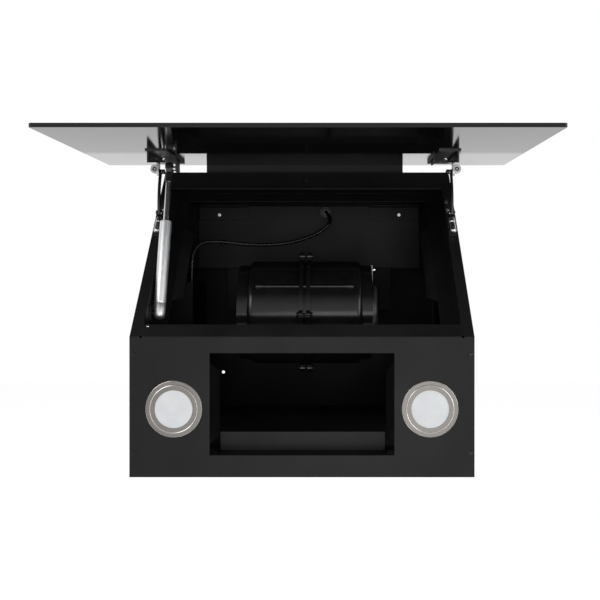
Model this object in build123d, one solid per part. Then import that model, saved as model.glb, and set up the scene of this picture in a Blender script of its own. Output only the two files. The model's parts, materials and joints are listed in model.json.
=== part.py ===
from build123d import *

import math
import os

# Wall-hung chimney range hood with a slanted front and a lift-up black glass flap, shown open.
# The hood faces -Y and hangs on a wall at Y = 0. +X is to the right as the cook sees it, +Z is up.
# The origin is on the wall plane, midway between the four wall fixing holes. Lengths are in mm.

# Body
BODY_WIDTH = 434.0
BODY_DEPTH = 402.0
FACE_HEIGHT = 176.5
SLOPE_RUN = 222.0
SLOPE_RISE = 235.6
SHEET = 1.0
JOINT_GAP = 0.1
CREST_DROP = 27.5
CREST_DEPTH = 12.0
SIDE_FLANGE = 14.0
NOTCH_RADIUS = 1.6
NOTCH_INSET = 14.2

# Slanted frame: rim, recess for the hinges and the strut, and ring round the service opening
RIM_SIDE = 14.7
RIM_BOTTOM = 20.4
RECESS_DEPTH = 47.6
RING_SIDE = 17.8
RING_TOP = 14.8
RING_BOTTOM = 12.5
FOLD_WIDTH = 17.0
FOLD_LOW = 103.0
FOLD_HIGH = 249.0
FOLD_TAPER = 18.0
TUCK_HEIGHT = 12.0

# Lining behind the service opening
LINER_CLEARANCE = 1.5
LINER_BACK = 351.0
LINER_LOW = 266.0
HEM_DEPTH = 3.0
FLOOR_FLANGE = 14.0

# Wall fixing: four holes, the origin in their middle
FIXING_DROP = 27.9
FIXING_SPACING_X = 304.0
FIXING_SPACING_Z = 272.0
FIXING_RADIUS = 2.75
SPACER_RADIUS = 6.0
HANGER_WIDTH = 83.0
HANGER_CENTRE = 143.5
HANGER_DROP = 24.0
HANGER_REACH = 26.0
HANGER_THICK = 2.0

# Front panel
INTAKE_WIDTH = 232.4
INTAKE_LOW = 27.6
INTAKE_HIGH = 156.0
LEAD_DEPTH = 31.0
LEAD_IN = 8.5
LEAD_TOP_DROP = 11.5
LEAD_TOP_MITRE = 14.8
LEAD_FOOT_RISE = 13.1
LEAD_FOOT_MITRE = 6.0
SILL_UPSTAND = 24.0
PANEL_SCREW_INSET = 4.6
PANEL_SCREW_LOW = 30.4
PANEL_SCREW_HIGH = 154.7
SCREW_HEAD_RADIUS = 2.8
SCREW_HEAD_HEIGHT = 1.4
SCREW_SHANK_RADIUS = 1.5
SCREW_SHANK_LENGTH = 6.0
FIT_GAP = 0.05

# Lights
LIGHT_SPACING = 322.0
LIGHT_HEIGHT = 85.9
BEZEL_RADIUS = 35.5
BEZEL_THICK = 1.6
INNER_RING_RADIUS = 30.0
INNER_RING_THICK = 3.0
LENS_RADIUS = 23.7
LENS_THICK = 2.0
LENS_SINK = 0.5
CAN_RADIUS = 29.0
CAN_DEPTH = 16.0
CAN_WALL = 1.2

# Exhaust
DUCT_WIDTH = 276.0
DUCT_LOW = 196.0
BOX_WIDTH = 304.0
BOX_SHIFT = -4.0
BOX_HEIGHT = 55.0
BOX_FRONT_GAP = 2.0
BOX_BACK_GAP = 2.0
COLLAR_MARGIN = 8.0
COLLAR_WALL = 1.0
COLLAR_LENGTH = 35.0
COLLAR_FLANGE = 6.0
COLLAR_FLANGE_THICK = 1.5
FLAP_THICK = 1.0
FLAP_CLEARANCE = 1.5
DAMPER_RISE = 14.0
DAMPER_PIN_RADIUS = 1.5
DAMPER_PIN_OFFSET = 4.0
KNUCKLE_RADIUS = 3.0

# Blower: a drum on an axis along X, with its outlet towards the wall
DRUM_RADIUS = 75.0
DRUM_HALF = 81.0
DRUM_WALL = 2.0
DRUM_EDGE = 8.0
DRUM_BACK = 175.0
DRUM_HEIGHT = 200.0
INLET_RADIUS = 57.0
INLET_RING_RADIUS = 69.0
INLET_RING_LENGTH = 14.0
NECK_HALF = 80.0
NECK_LOW = 206.0
NECK_HIGH = 262.0
NECK_FLANGE = 9.0
NECK_FLANGE_TOP = 3.0
NECK_FLANGE_THICK = 2.0
SEAM_RADIUS = 79.0
SEAM_GROOVE = 2.0
SEAM_HALF = 8.0
LUG_RADIUS = 6.0
LUG_STAND = 7.0
LUG_ANGLES = (90.0, 180.0, 270.0)
SEAM_BOLT_RADIUS = 2.0
SEAM_HEAD_RADIUS = 3.6
SEAM_HEAD_LENGTH = 3.0
RIDGE_ANGLE = 149.0
RIDGE_RADIUS = 3.0
RIDGE_HALF = 68.0
RIDGE_BOSS_RADIUS = 5.0
RIDGE_BOSS_LENGTH = 9.0
IMPELLER_RADIUS = 63.0
IMPELLER_HALF = 72.0
BLADE_COUNT = 28
BLADE_THICK = 1.2
BLADE_RING = 10.0
BLADE_SKEW = 35.0
END_RING = 3.0
HUB_RADIUS = 12.0
HUB_HALF = 8.0
DISC_HALF = 1.5
SHAFT_RADIUS = 4.0
SHAFT_SEAT = 48.0
MOTOR_RADIUS = 40.0
MOTOR_START = 12.0
MOTOR_END = 104.0
MOTOR_EDGE = 5.0
SPIDER_THICK = 3.0
SPIDER_RING = 6.0
SPIDER_ARM = 12.0
SPIDER_ARMS = 3

# Electrical parts
CONTROL_WIDTH = 44.0
CONTROL_FRONT = 190.0
CONTROL_BACK = 320.0
CONTROL_DROP = 140.6
CONTROL_LENGTH = 132.0
CONTROL_LID = 2.0
CABLE_RADIUS = 2.5
BEND_SHARE = 0.45
GLAND_RADIUS = 7.0
# Cable route from the gland to the control box, each point as X, distance behind the face, drop from the top
CABLE_ROUTE = (
    (28.0, 341.0, 23.6), (28.0, 321.0, 23.6), (38.0, 308.0, 39.6), (26.0, 296.0, 56.6),
    (-4.0, 283.0, 71.6), (-44.0, 268.0, 81.6), (-92.0, 256.0, 82.6), (-138.0, 248.0, 77.1),
    (-166.0, 244.0, 78.6), (-179.0, 243.0, 93.6), (-181.0, 246.0, 117.6), (-181.0, 246.0, CONTROL_DROP),
)

# Glass flap, worked out level and then tilted a little about its pins, front edge down
GLASS_WIDTH = 595.0
GLASS_LENGTH = 326.5
GLASS_THICK = 5.0
GLASS_CORNER = 3.0
GLASS_EDGE = 0.5
GLASS_LIFT = 7.6
GLASS_BACK = 201.2
OPEN_TILT = 0.6
CLOSED_GAP = 21.6
CLOSED_OVERHANG = 3.0

# Hinges
ARM_PIVOT_BACK = 161.0
ARM_PIVOT_DROP = 14.6
ARM_LENGTH = 62.5
ARM_X = 211.5
ARM_THICK = 3.0
ARM_WIDTH = 7.2
ARM_BOW = 5.0
ARM_SIDE_GAP = 0.4
PIN_RADIUS = 1.6
PIN_HEAD_RADIUS = 3.0
PIN_HEAD_LENGTH = 0.8
BASE_REACH_IN = 8.2
BASE_REACH_OUT = 3.8
BASE_LOW = 182.0
BASE_HIGH = 262.0
BASE_THICK = 2.0
BASE_EAR_THICK = 1.6
BASE_EAR_RADIUS = 4.5
BASE_SCREW_INSET = 5.5
BASE_SCREW_PLACES = (234.0, 254.0)
STOP_LOW = 184.0
STOP_LENGTH = 30.0
STOP_WIDTH = 9.0
STOP_HEIGHT = 8.0
STOP_EDGE = 1.0

# Brackets under the glass
BRACKET_THICK = 2.0
BRACKET_FRONT = 41.0
BRACKET_BACK = 170.0
BRACKET_OUTER = 207.0
BRACKET_INNER = 178.0
GLASS_EAR_THICK = 3.0
GLASS_EAR_RADIUS = 6.2
GLASS_EAR_FRONT = 140.0
GLASS_PIN_HEAD = 2.4
FIN_INSET = 2.6
FIN_THICK = 2.0
FIN_DROP = 17.0
FIN_BACK = 150.0
WEB_INSET = 12.0
WEB_THICK = 2.0
WEB_DROP = 19.6
PLAIN_WEB_DROP = 8.0
WEB_FRONT = 118.0
WEB_BACK = 142.0

# Gas strut in the left recess
STRUT_X = 192.0
STRUT_FOOT_BACK = 59.6
STRUT_FOOT_RISE = 27.5
STRUT_HEAD_BACK = 130.0
STRUT_HEAD_DROP = 13.7
TUBE_RADIUS = 8.0
TUBE_WALL = 1.5
TUBE_START = 14.0
TUBE_LENGTH = 117.5
TUBE_COLLAR = 6.0
ROD_RADIUS = 4.0
ROD_INSIDE = 60.0
PISTON_LENGTH = 8.0
EYE_HALF = 4.0
FOOT_EYE_RADIUS = 8.0
FOOT_NECK = 7.0
FOOT_STUD_RADIUS = 3.5
HEAD_EYE_RADIUS = 8.5
HEAD_NECK = 11.0
HEAD_STUD_RADIUS = 2.5
HEAD_PLAY = 3.4
STUD_STEP = 1.0
FOOT_WASHER_RADIUS = 6.0
SOCKET_RADIUS = 5.5
SOCKET_LENGTH = 22.0
WASHER_RADIUS = 7.0
WASHER_THICK = 1.2
FOOT_PLATE = 26.0
FOOT_PLATE_THICK = 2.0
FOOT_PLATE_CORNER = 4.0

# Catch on the top band
CATCH_RADIUS = 3.5
CATCH_HEIGHT = 3.0
CATCH_INSET = 21.5

# Places worked out from the sizes above
HALF = BODY_WIDTH / 2
CREST_HEIGHT = FACE_HEIGHT + SLOPE_RISE
TOP_HEIGHT = CREST_HEIGHT - CREST_DROP
CREST_BACK = SLOPE_RUN + CREST_DEPTH
UPPER_FIXING = TOP_HEIGHT - FIXING_DROP
LOWER_FIXING = UPPER_FIXING - FIXING_SPACING_Z
FRONT_Y = -BODY_DEPTH
BASE_Z = -(UPPER_FIXING + LOWER_FIXING) / 2
GLASS_UNDER = CREST_HEIGHT + GLASS_LIFT
CONTROL_HIGH = TOP_HEIGHT - CONTROL_DROP
CONTROL_LOW = CONTROL_HIGH - CONTROL_LENGTH
BASE_INNER = ARM_X - BASE_REACH_IN
BASE_OUTER = ARM_X + BASE_REACH_OUT
BASE_SCREW_X = ARM_X - BASE_SCREW_INSET
STRUT_FOOT_HEIGHT = FACE_HEIGHT + STRUT_FOOT_RISE
SLOPE_LENGTH = math.hypot(SLOPE_RUN, SLOPE_RISE)
COS = SLOPE_RUN / SLOPE_LENGTH
SIN = SLOPE_RISE / SLOPE_LENGTH
SLOPE = Plane(origin=(0, FRONT_Y, BASE_Z + FACE_HEIGHT), x_dir=(1, 0, 0), z_dir=(0, -SIN, COS))
SKIN = SHEET + JOINT_GAP
INSIDE = HALF - SKIN
RECESS_HALF = HALF - RIM_SIDE
OPENING_HALF = RECESS_HALF - RING_SIDE
OPENING_TOP = TOP_HEIGHT - RING_TOP
LINER_HALF = OPENING_HALF + LINER_CLEARANCE
CEILING = OPENING_TOP + LINER_CLEARANCE
FLOOR_TOP = INTAKE_LOW - SKIN
BACK_FRONT = BODY_DEPTH - SHEET
DUCT_FRONT = LINER_BACK + SKIN
BOX_FRONT = CREST_BACK + BOX_FRONT_GAP
BOX_BACK = BODY_DEPTH - BOX_BACK_GAP
COLLAR_BACK = (BOX_FRONT + BOX_BACK) / 2
COLLAR_RADIUS = (BOX_BACK - BOX_FRONT) / 2 - COLLAR_MARGIN
BOX_LOW = TOP_HEIGHT + SHEET
BOX_TOP = BOX_LOW + BOX_HEIGHT
DAMPER_HEIGHT = BOX_TOP + DAMPER_RISE
DRUM_END = DRUM_HALF + INLET_RING_LENGTH
WEB_INNER = STRUT_X - WEB_INSET
FAR = 1000.0


def place(back, height):
    """(Y, Z) of a point so far behind the front face and so far above the bottom edge."""
    return FRONT_Y + back, BASE_Z + height


def slope_point(s, depth=0.0):
    """(Y, Z) of a point s up the slope from the front face's top edge and depth behind the slope."""
    return FRONT_Y + s * COS + depth * SIN, BASE_Z + FACE_HEIGHT + s * SIN - depth * COS


def slope_height(back, depth):
    """Height above the bottom edge of the plane that lies depth behind the slope."""
    return FACE_HEIGHT + (back * SIN - depth) / COS


def slope_back(height, depth):
    """Distance behind the front face of the plane that lies depth behind the slope."""
    return ((height - FACE_HEIGHT) * COS + depth) / SIN


def closed_point(back, drop):
    """Where a point of the level glass, so far back and so far below the glass, lies when it is shut."""
    return slope_point(SLOPE_LENGTH + CLOSED_OVERHANG - (GLASS_BACK - back), drop - CLOSED_GAP)


def open_point(back, drop):
    """Where a point of the level glass lies when the open flap has its tilt about the pins."""
    turn = math.radians(OPEN_TILT)
    y = back - ARM_PIVOT_BACK
    z = ARM_PIVOT_DROP - drop
    return place(ARM_PIVOT_BACK + y * math.cos(turn) - z * math.sin(turn),
                 GLASS_UNDER - ARM_PIVOT_DROP + y * math.sin(turn) + z * math.cos(turn))


def tilted(solid):
    """A part of the level glass flap, turned to the open flap's tilt."""
    return Pos(0, *PIVOT_OPEN) * Rot(OPEN_TILT, 0, 0) * Pos(0, -PIVOT_OPEN[0], -PIVOT_OPEN[1]) * solid


def middle(a, b):
    return (a[0] + b[0]) / 2, (a[1] + b[1]) / 2


def polar(centre, radius, angle):
    """(Y, Z) at an angle from +Y towards +Z."""
    turn = math.radians(angle)
    return centre[0] + radius * math.cos(turn), centre[1] + radius * math.sin(turn)


def block(x0, x1, back0, back1, low, high):
    """An upright box, with its depth from the front face and its height above the bottom edge."""
    y, z = place((back0 + back1) / 2, (low + high) / 2)
    return Pos((x0 + x1) / 2, y, z) * Box(x1 - x0, back1 - back0, high - low)


def prism(points, x0, x1):
    """A prism along X over a polygon of (Y, Z) points."""
    return Pos(x0, 0, 0) * extrude(Plane.YZ * make_face(Polyline(*points, close=True)), amount=x1 - x0)


def rod_x(point, radius, x0, x1):
    return Pos((x0 + x1) / 2, point[0], point[1]) * Rot(0, 90, 0) * Cylinder(radius, x1 - x0)


def rod_y(x, height, radius, back0, back1):
    y, z = place((back0 + back1) / 2, height)
    return Pos(x, y, z) * Rot(90, 0, 0) * Cylinder(radius, back1 - back0)


def rod_z(x, back, radius, low, high):
    y, z = place(back, (low + high) / 2)
    return Pos(x, y, z) * Cylinder(radius, high - low)


def on_slope(x0, x1, s0, s1, depth0, depth1):
    """A box in the slope's own directions, depth counted into the hood."""
    at = Pos((x0 + x1) / 2, (s0 + s1) / 2, -(depth0 + depth1) / 2)
    return SLOPE * at * Box(x1 - x0, s1 - s0, depth1 - depth0)


def slope_rod(x, s, radius, depth0, depth1):
    """A cylinder square to the slope."""
    return SLOPE * Pos(x, s, -(depth0 + depth1) / 2) * Cylinder(radius, depth1 - depth0)


def mirrored(solid):
    return mirror(solid, about=Plane.YZ)


def pan_head(x, height, seat):
    """A cross-recessed screw whose head sits on a face seat mm behind the front face."""
    head = rod_y(x, height, SCREW_HEAD_RADIUS, seat - SCREW_HEAD_HEIGHT, seat)
    head = fillet(head.edges().group_by(Axis.Y)[0], SCREW_HEAD_HEIGHT / 2)
    slot = SCREW_HEAD_RADIUS / 2
    width = SCREW_HEAD_RADIUS / 8
    cut = seat - SCREW_HEAD_HEIGHT / 2
    head -= block(x - slot, x + slot, seat - FAR, cut, height - width, height + width)
    head -= block(x - width, x + width, seat - FAR, cut, height - slot, height + slot)
    return head + rod_y(x, height, SCREW_SHANK_RADIUS, seat, seat + SCREW_SHANK_LENGTH)


# Casing

def side_panel():
    """The flat right side with its slanted front edge and the flange that takes the front panel."""
    outline = [
        place(SHEET, 0),
        place(SHEET, slope_height(SHEET, SKIN)),
        place(slope_back(CREST_HEIGHT - SKIN, SKIN), CREST_HEIGHT - SKIN),
        place(CREST_BACK, CREST_HEIGHT - SKIN),
        place(CREST_BACK, TOP_HEIGHT + SHEET),
        place(BODY_DEPTH, TOP_HEIGHT + SHEET),
        place(BODY_DEPTH, 0),
    ]
    panel = prism(outline, HALF - SHEET, HALF)
    panel += block(HALF - SIDE_FLANGE, HALF, SHEET, 2 * SHEET, 0, FACE_HEIGHT - SKIN)
    return panel - panel_screw_holes()


def panel_screw_places():
    at = HALF - PANEL_SCREW_INSET
    return [(x, height) for x in (-at, at) for height in (PANEL_SCREW_LOW, PANEL_SCREW_HIGH)]


def panel_screw_holes():
    radius = SCREW_SHANK_RADIUS + FIT_GAP
    return [rod_y(x, height, radius, -SHEET, 3 * SHEET) for x, height in panel_screw_places()]


def front_panel_screws():
    return Compound(children=[pan_head(x, height, 0) for x, height in panel_screw_places()])


def relief_notches():
    at = HALF - NOTCH_INSET
    return [rod_y(x, FACE_HEIGHT, NOTCH_RADIUS, -SHEET, 3 * SHEET) for x in (-at, at)]


def front_panel():
    """The lower face with the air intake, its turned-in edges and the two light holes."""
    panel = block(-HALF, HALF, 0, SHEET, 0, FACE_HEIGHT)
    panel -= block(-INTAKE_WIDTH / 2, INTAKE_WIDTH / 2, -SHEET, 2 * SHEET, INTAKE_LOW, INTAKE_HIGH)
    for x in (-LIGHT_SPACING / 2, LIGHT_SPACING / 2):
        panel -= rod_y(x, LIGHT_HEIGHT, CAN_RADIUS + JOINT_GAP, -SHEET, 2 * SHEET)
    panel -= panel_screw_holes()
    panel -= relief_notches()
    lead = intake_side()
    inner = INTAKE_WIDTH / 2 - LEAD_IN - SHEET
    sill_top = INTAKE_LOW + SILL_UPSTAND
    panel += lead + mirrored(lead)
    panel += block(-inner, inner, 0, LEAD_DEPTH, INTAKE_LOW - SHEET, INTAKE_LOW)
    panel += block(-inner, inner, LEAD_DEPTH - SHEET, LEAD_DEPTH, INTAKE_LOW - SHEET, sill_top)
    panel += block(-inner, inner, 0, LEAD_DEPTH, INTAKE_HIGH, INTAKE_HIGH + SHEET)
    return panel


def intake_side():
    """The right edge of the intake, turned in towards the middle and cut back at both ends."""
    low = INTAKE_LOW + LEAD_FOOT_RISE
    high = INTAKE_HIGH - LEAD_TOP_DROP
    outline = [place(0, low), place(0, high), place(LEAD_DEPTH, high - LEAD_TOP_MITRE),
               place(LEAD_DEPTH, low + LEAD_FOOT_MITRE)]
    half = INTAKE_WIDTH / 2
    inner = half - LEAD_IN
    plan = [(half, FRONT_Y), (half + SHEET, FRONT_Y), (inner + SHEET, FRONT_Y + LEAD_DEPTH),
            (inner, FRONT_Y + LEAD_DEPTH)]
    leaning = extrude(make_face(Polyline(*plan, close=True)), amount=FAR, both=True)
    return leaning & prism(outline, 0, HALF)


def slope_frame():
    """The pressed frame of the slanted face: rim, crest, recess walls, ring round the opening and folds."""
    reach = RECESS_HALF + SHEET
    foot = slope_point(RIM_BOTTOM)
    foot_in = slope_point(RIM_BOTTOM, RECESS_DEPTH)
    head = place(slope_back(TOP_HEIGHT, 0), TOP_HEIGHT)
    head_in = place(slope_back(TOP_HEIGHT, RECESS_DEPTH), TOP_HEIGHT)
    frame = on_slope(-HALF, HALF, 0, SLOPE_LENGTH, 0, SHEET)
    frame += block(-HALF, HALF, SLOPE_RUN, CREST_BACK, CREST_HEIGHT - SHEET, CREST_HEIGHT)
    frame -= prism([slope_point(RIM_BOTTOM, -RECESS_DEPTH), foot_in, head_in, place(0, TOP_HEIGHT)],
                   -RECESS_HALF, RECESS_HALF)
    frame += block(-INSIDE, INSIDE, CREST_BACK - SHEET, CREST_BACK, TOP_HEIGHT, CREST_HEIGHT)
    wall = prism([foot, head, head_in, foot_in], RECESS_HALF, reach)
    frame += wall + mirrored(wall)
    frame += on_slope(-reach, reach, RIM_BOTTOM - SHEET, RIM_BOTTOM, 0, RECESS_DEPTH)
    frame += prism([head, head_in, (head_in[0], head_in[1] - SHEET), (head[0], head[1] - SHEET)], -reach, reach)
    ring_high = (TOP_HEIGHT - FACE_HEIGHT + RECESS_DEPTH * COS) / SIN
    opening_high = (OPENING_TOP - FACE_HEIGHT + RECESS_DEPTH * COS) / SIN
    ring = on_slope(-reach, reach, RIM_BOTTOM - SHEET, ring_high, RECESS_DEPTH, RECESS_DEPTH + SHEET)
    ring -= on_slope(-OPENING_HALF, OPENING_HALF, RIM_BOTTOM + RING_BOTTOM, opening_high, 0, 2 * RECESS_DEPTH)
    fold = fold_flange()
    frame += ring + fold + mirrored(fold)
    frame -= block(-FAR, FAR, -SHEET, 2 * SHEET, 0, FACE_HEIGHT + JOINT_GAP)
    tuck = HALF - SIDE_FLANGE - SHEET
    frame += block(-tuck, tuck, SKIN, SKIN + SHEET, FACE_HEIGHT - TUCK_HEIGHT, FACE_HEIGHT + SKIN)
    return frame - relief_notches() - base_screw_holes()


def fold_flange():
    """The strip turned in at 45 degrees along the right side of the opening, tapered at its lower end."""
    reach = FOLD_WIDTH / math.sqrt(2)
    thick = SHEET * math.sqrt(2)
    edge = -RECESS_DEPTH
    section = [(OPENING_HALF, edge), (OPENING_HALF, edge - thick), (OPENING_HALF - reach, edge - reach - thick),
               (OPENING_HALF - reach, edge - reach)]
    strip = extrude(Plane.XZ * make_face(Polyline(*section, close=True)), amount=FAR, both=True)
    side = [(FOLD_LOW, edge), (FOLD_HIGH, edge), (FOLD_HIGH, edge - reach - thick),
            (FOLD_LOW + FOLD_TAPER, edge - reach - thick)]
    keep = extrude(Plane.YZ * make_face(Polyline(*side, close=True)), amount=HALF)
    return SLOPE * (strip & keep)


def fixing_holes(height, back0, back1):
    half = FIXING_SPACING_X / 2
    return [rod_y(x, height, FIXING_RADIUS, back0, back1) for x in (-half, half)]


def back_panel():
    panel = block(-INSIDE, INSIDE, BACK_FRONT, BODY_DEPTH, 0, TOP_HEIGHT - JOINT_GAP)
    for height in (UPPER_FIXING, LOWER_FIXING):
        panel -= fixing_holes(height, 0, 2 * BODY_DEPTH)
    return panel


def duct_mouth():
    """The open space from the rear duct up into the box on top."""
    half = DUCT_WIDTH / 2 - 2 * SHEET
    return block(-half, half, DUCT_FRONT + 2 * SHEET, BACK_FRONT - 2 * SHEET, TOP_HEIGHT - SHEET, BOX_LOW + SHEET)


def top_plate():
    plate = block(-INSIDE, INSIDE, CREST_BACK + JOINT_GAP, BODY_DEPTH, TOP_HEIGHT, TOP_HEIGHT + SHEET)
    return plate - duct_mouth()


def floor_pan():
    """The floor with its front and rear edges turned down."""
    front = 2 * SHEET + JOINT_GAP
    back = BACK_FRONT - JOINT_GAP
    pan = block(-INSIDE, INSIDE, front, back, FLOOR_TOP - SHEET, FLOOR_TOP)
    for edge in (front, back - SHEET):
        pan += block(-INSIDE, INSIDE, edge, edge + SHEET, FLOOR_TOP - FLOOR_FLANGE, FLOOR_TOP)
    return pan


def inner_liner():
    """The lining behind the opening: ceiling, rear wall with a hem at its foot, and two side walls."""
    outer = LINER_HALF + SHEET
    shell = block(-outer, outer, 0, LINER_BACK + SHEET, LINER_LOW, CEILING + SHEET)
    shell -= block(-LINER_HALF, LINER_HALF, -FAR, LINER_BACK, LINER_LOW - FAR, CEILING)
    shell += block(-LINER_HALF, LINER_HALF, LINER_BACK - HEM_DEPTH, LINER_BACK, LINER_LOW, LINER_LOW + SHEET)
    shell -= on_slope(-HALF, HALF, -FAR, FAR, -FAR, RECESS_DEPTH + SKIN)
    return shell - fixing_holes(UPPER_FIXING, 0, BODY_DEPTH)


def hanger_plates():
    """The two angles that stiffen the lining's upper corners round the wall fixings."""
    group = []
    for x in (-HANGER_CENTRE, HANGER_CENTRE):
        x0 = x - HANGER_WIDTH / 2
        x1 = x + HANGER_WIDTH / 2
        plate = block(x0, x1, LINER_BACK - HANGER_THICK, LINER_BACK, CEILING - HANGER_DROP, CEILING)
        plate += block(x0, x1, LINER_BACK - HANGER_REACH, LINER_BACK, CEILING - HANGER_THICK, CEILING)
        group.append(plate - fixing_holes(UPPER_FIXING, 0, BODY_DEPTH))
    return Compound(children=group)


def wall_spacers():
    """The tubes that carry the upper fixing screws from the lining to the back panel."""
    half = FIXING_SPACING_X / 2
    group = []
    for x in (-half, half):
        tube = rod_y(x, UPPER_FIXING, SPACER_RADIUS, LINER_BACK + SHEET, BACK_FRONT)
        group.append(tube - rod_y(x, UPPER_FIXING, FIXING_RADIUS, 0, 2 * BODY_DEPTH))
    return Compound(children=group)


# Lights

def light_bezel(x):
    """A flat outer ring with a raised inner ring that holds the lens."""
    bezel = rod_y(x, LIGHT_HEIGHT, BEZEL_RADIUS, -BEZEL_THICK, 0)
    bezel = fillet(bezel.edges().group_by(Axis.Y)[0], BEZEL_THICK / 2)
    raised = rod_y(x, LIGHT_HEIGHT, INNER_RING_RADIUS, -INNER_RING_THICK, 0)
    raised = fillet(raised.edges().group_by(Axis.Y)[0], BEZEL_THICK / 2)
    return bezel + raised - rod_y(x, LIGHT_HEIGHT, LENS_RADIUS + FIT_GAP, -FAR, FAR)


def light_lens(x):
    front = LENS_SINK - INNER_RING_THICK
    return rod_y(x, LIGHT_HEIGHT, LENS_RADIUS, front, front + LENS_THICK)


def light_can(x):
    """The lamp housing that passes through the panel and butts on the bezel."""
    can = rod_y(x, LIGHT_HEIGHT, CAN_RADIUS, 0, CAN_DEPTH)
    return can - rod_y(x, LIGHT_HEIGHT, CAN_RADIUS - CAN_WALL, -SHEET, CAN_DEPTH - CAN_WALL)


# Exhaust

def rear_duct():
    """The flat duct between the lining and the back panel, open upwards and at the blower's neck."""
    half = DUCT_WIDTH / 2
    duct = block(-half, half, DUCT_FRONT, BACK_FRONT, DUCT_LOW, TOP_HEIGHT)
    duct -= block(-half + SHEET, half - SHEET, DUCT_FRONT + SHEET, FAR, DUCT_LOW + SHEET, FAR)
    return duct - neck_core() - neck_screw_holes()


def duct_box():
    """The walls of the box on the top plate that turns the rear duct into the round outlet."""
    x0 = BOX_SHIFT - BOX_WIDTH / 2
    x1 = BOX_SHIFT + BOX_WIDTH / 2
    box = block(x0, x1, BOX_FRONT, BOX_BACK, BOX_LOW, BOX_TOP - SHEET)
    return box - block(x0 + SHEET, x1 - SHEET, BOX_FRONT + SHEET, BOX_BACK - SHEET, BOX_LOW - SHEET, BOX_TOP)


def duct_lid():
    """The box's lid with its round hole."""
    lid = block(BOX_SHIFT - BOX_WIDTH / 2, BOX_SHIFT + BOX_WIDTH / 2, BOX_FRONT, BOX_BACK, BOX_TOP - SHEET, BOX_TOP)
    return lid - rod_z(0, COLLAR_BACK, COLLAR_RADIUS - COLLAR_WALL, BOX_LOW, BOX_TOP + SHEET)


def damper_pin_place(side):
    return place(COLLAR_BACK + side * DAMPER_PIN_OFFSET, DAMPER_HEIGHT)


def outlet_collar():
    collar = rod_z(0, COLLAR_BACK, COLLAR_RADIUS, BOX_TOP, BOX_TOP + COLLAR_LENGTH)
    collar += rod_z(0, COLLAR_BACK, COLLAR_RADIUS + COLLAR_FLANGE, BOX_TOP, BOX_TOP + COLLAR_FLANGE_THICK)
    collar -= rod_z(0, COLLAR_BACK, COLLAR_RADIUS - COLLAR_WALL, BOX_TOP - SHEET, BOX_TOP + 2 * COLLAR_LENGTH)
    for side in (-1, 1):
        collar -= rod_x(damper_pin_place(side), DAMPER_PIN_RADIUS + FIT_GAP, -FAR, FAR)
    return collar


def damper_pins():
    half = math.sqrt(COLLAR_RADIUS ** 2 - (DAMPER_PIN_OFFSET + DAMPER_PIN_RADIUS) ** 2)
    return Compound(children=[rod_x(damper_pin_place(s), DAMPER_PIN_RADIUS, -half, half) for s in (-1, 1)])


def damper_flap(side):
    """A half disc with a rolled edge round its pin, lying level when no air flows."""
    pin = damper_pin_place(side)
    radius = COLLAR_RADIUS - COLLAR_WALL - FLAP_CLEARANCE
    low = DAMPER_HEIGHT - FLAP_THICK / 2
    disc = rod_z(0, COLLAR_BACK, radius, low, low + FLAP_THICK)
    edge = COLLAR_BACK + side * (DAMPER_PIN_OFFSET + DAMPER_PIN_RADIUS)
    disc = disc & block(-FAR, FAR, min(edge, edge + side * FAR), max(edge, edge + side * FAR), 0, FAR)
    half = math.sqrt(radius ** 2 - (DAMPER_PIN_OFFSET + KNUCKLE_RADIUS) ** 2)
    flap = disc + rod_x(pin, KNUCKLE_RADIUS, -half, half)
    return flap - rod_x(pin, DAMPER_PIN_RADIUS + FIT_GAP, -FAR, FAR)


# Blower

def drum_centre():
    return place(DRUM_BACK, DRUM_HEIGHT)


def neck_core():
    """The air space of the outlet, from the drum to the rear duct."""
    half = NECK_HALF - DRUM_WALL
    return block(-half, half, DRUM_BACK, DUCT_FRONT + 2 * SHEET, NECK_LOW + DRUM_WALL, NECK_HIGH - DRUM_WALL)


def neck_screw_places():
    x = NECK_HALF + NECK_FLANGE / 2
    third = (NECK_HIGH - NECK_LOW) / 3
    return [(side * x, height) for side in (-1, 1) for height in (NECK_LOW + third, NECK_HIGH - third)]


def neck_screw_holes():
    radius = SCREW_SHANK_RADIUS + FIT_GAP
    return [rod_y(x, height, radius, DUCT_FRONT - 2 * NECK_FLANGE_THICK, DUCT_FRONT + 2 * SHEET)
            for x, height in neck_screw_places()]


def blower_screws():
    seat = DUCT_FRONT - NECK_FLANGE_THICK
    return Compound(children=[pan_head(x, height, seat) for x, height in neck_screw_places()])


def lug_places():
    return [polar(drum_centre(), DRUM_RADIUS + LUG_STAND, angle) for angle in LUG_ANGLES]


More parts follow.
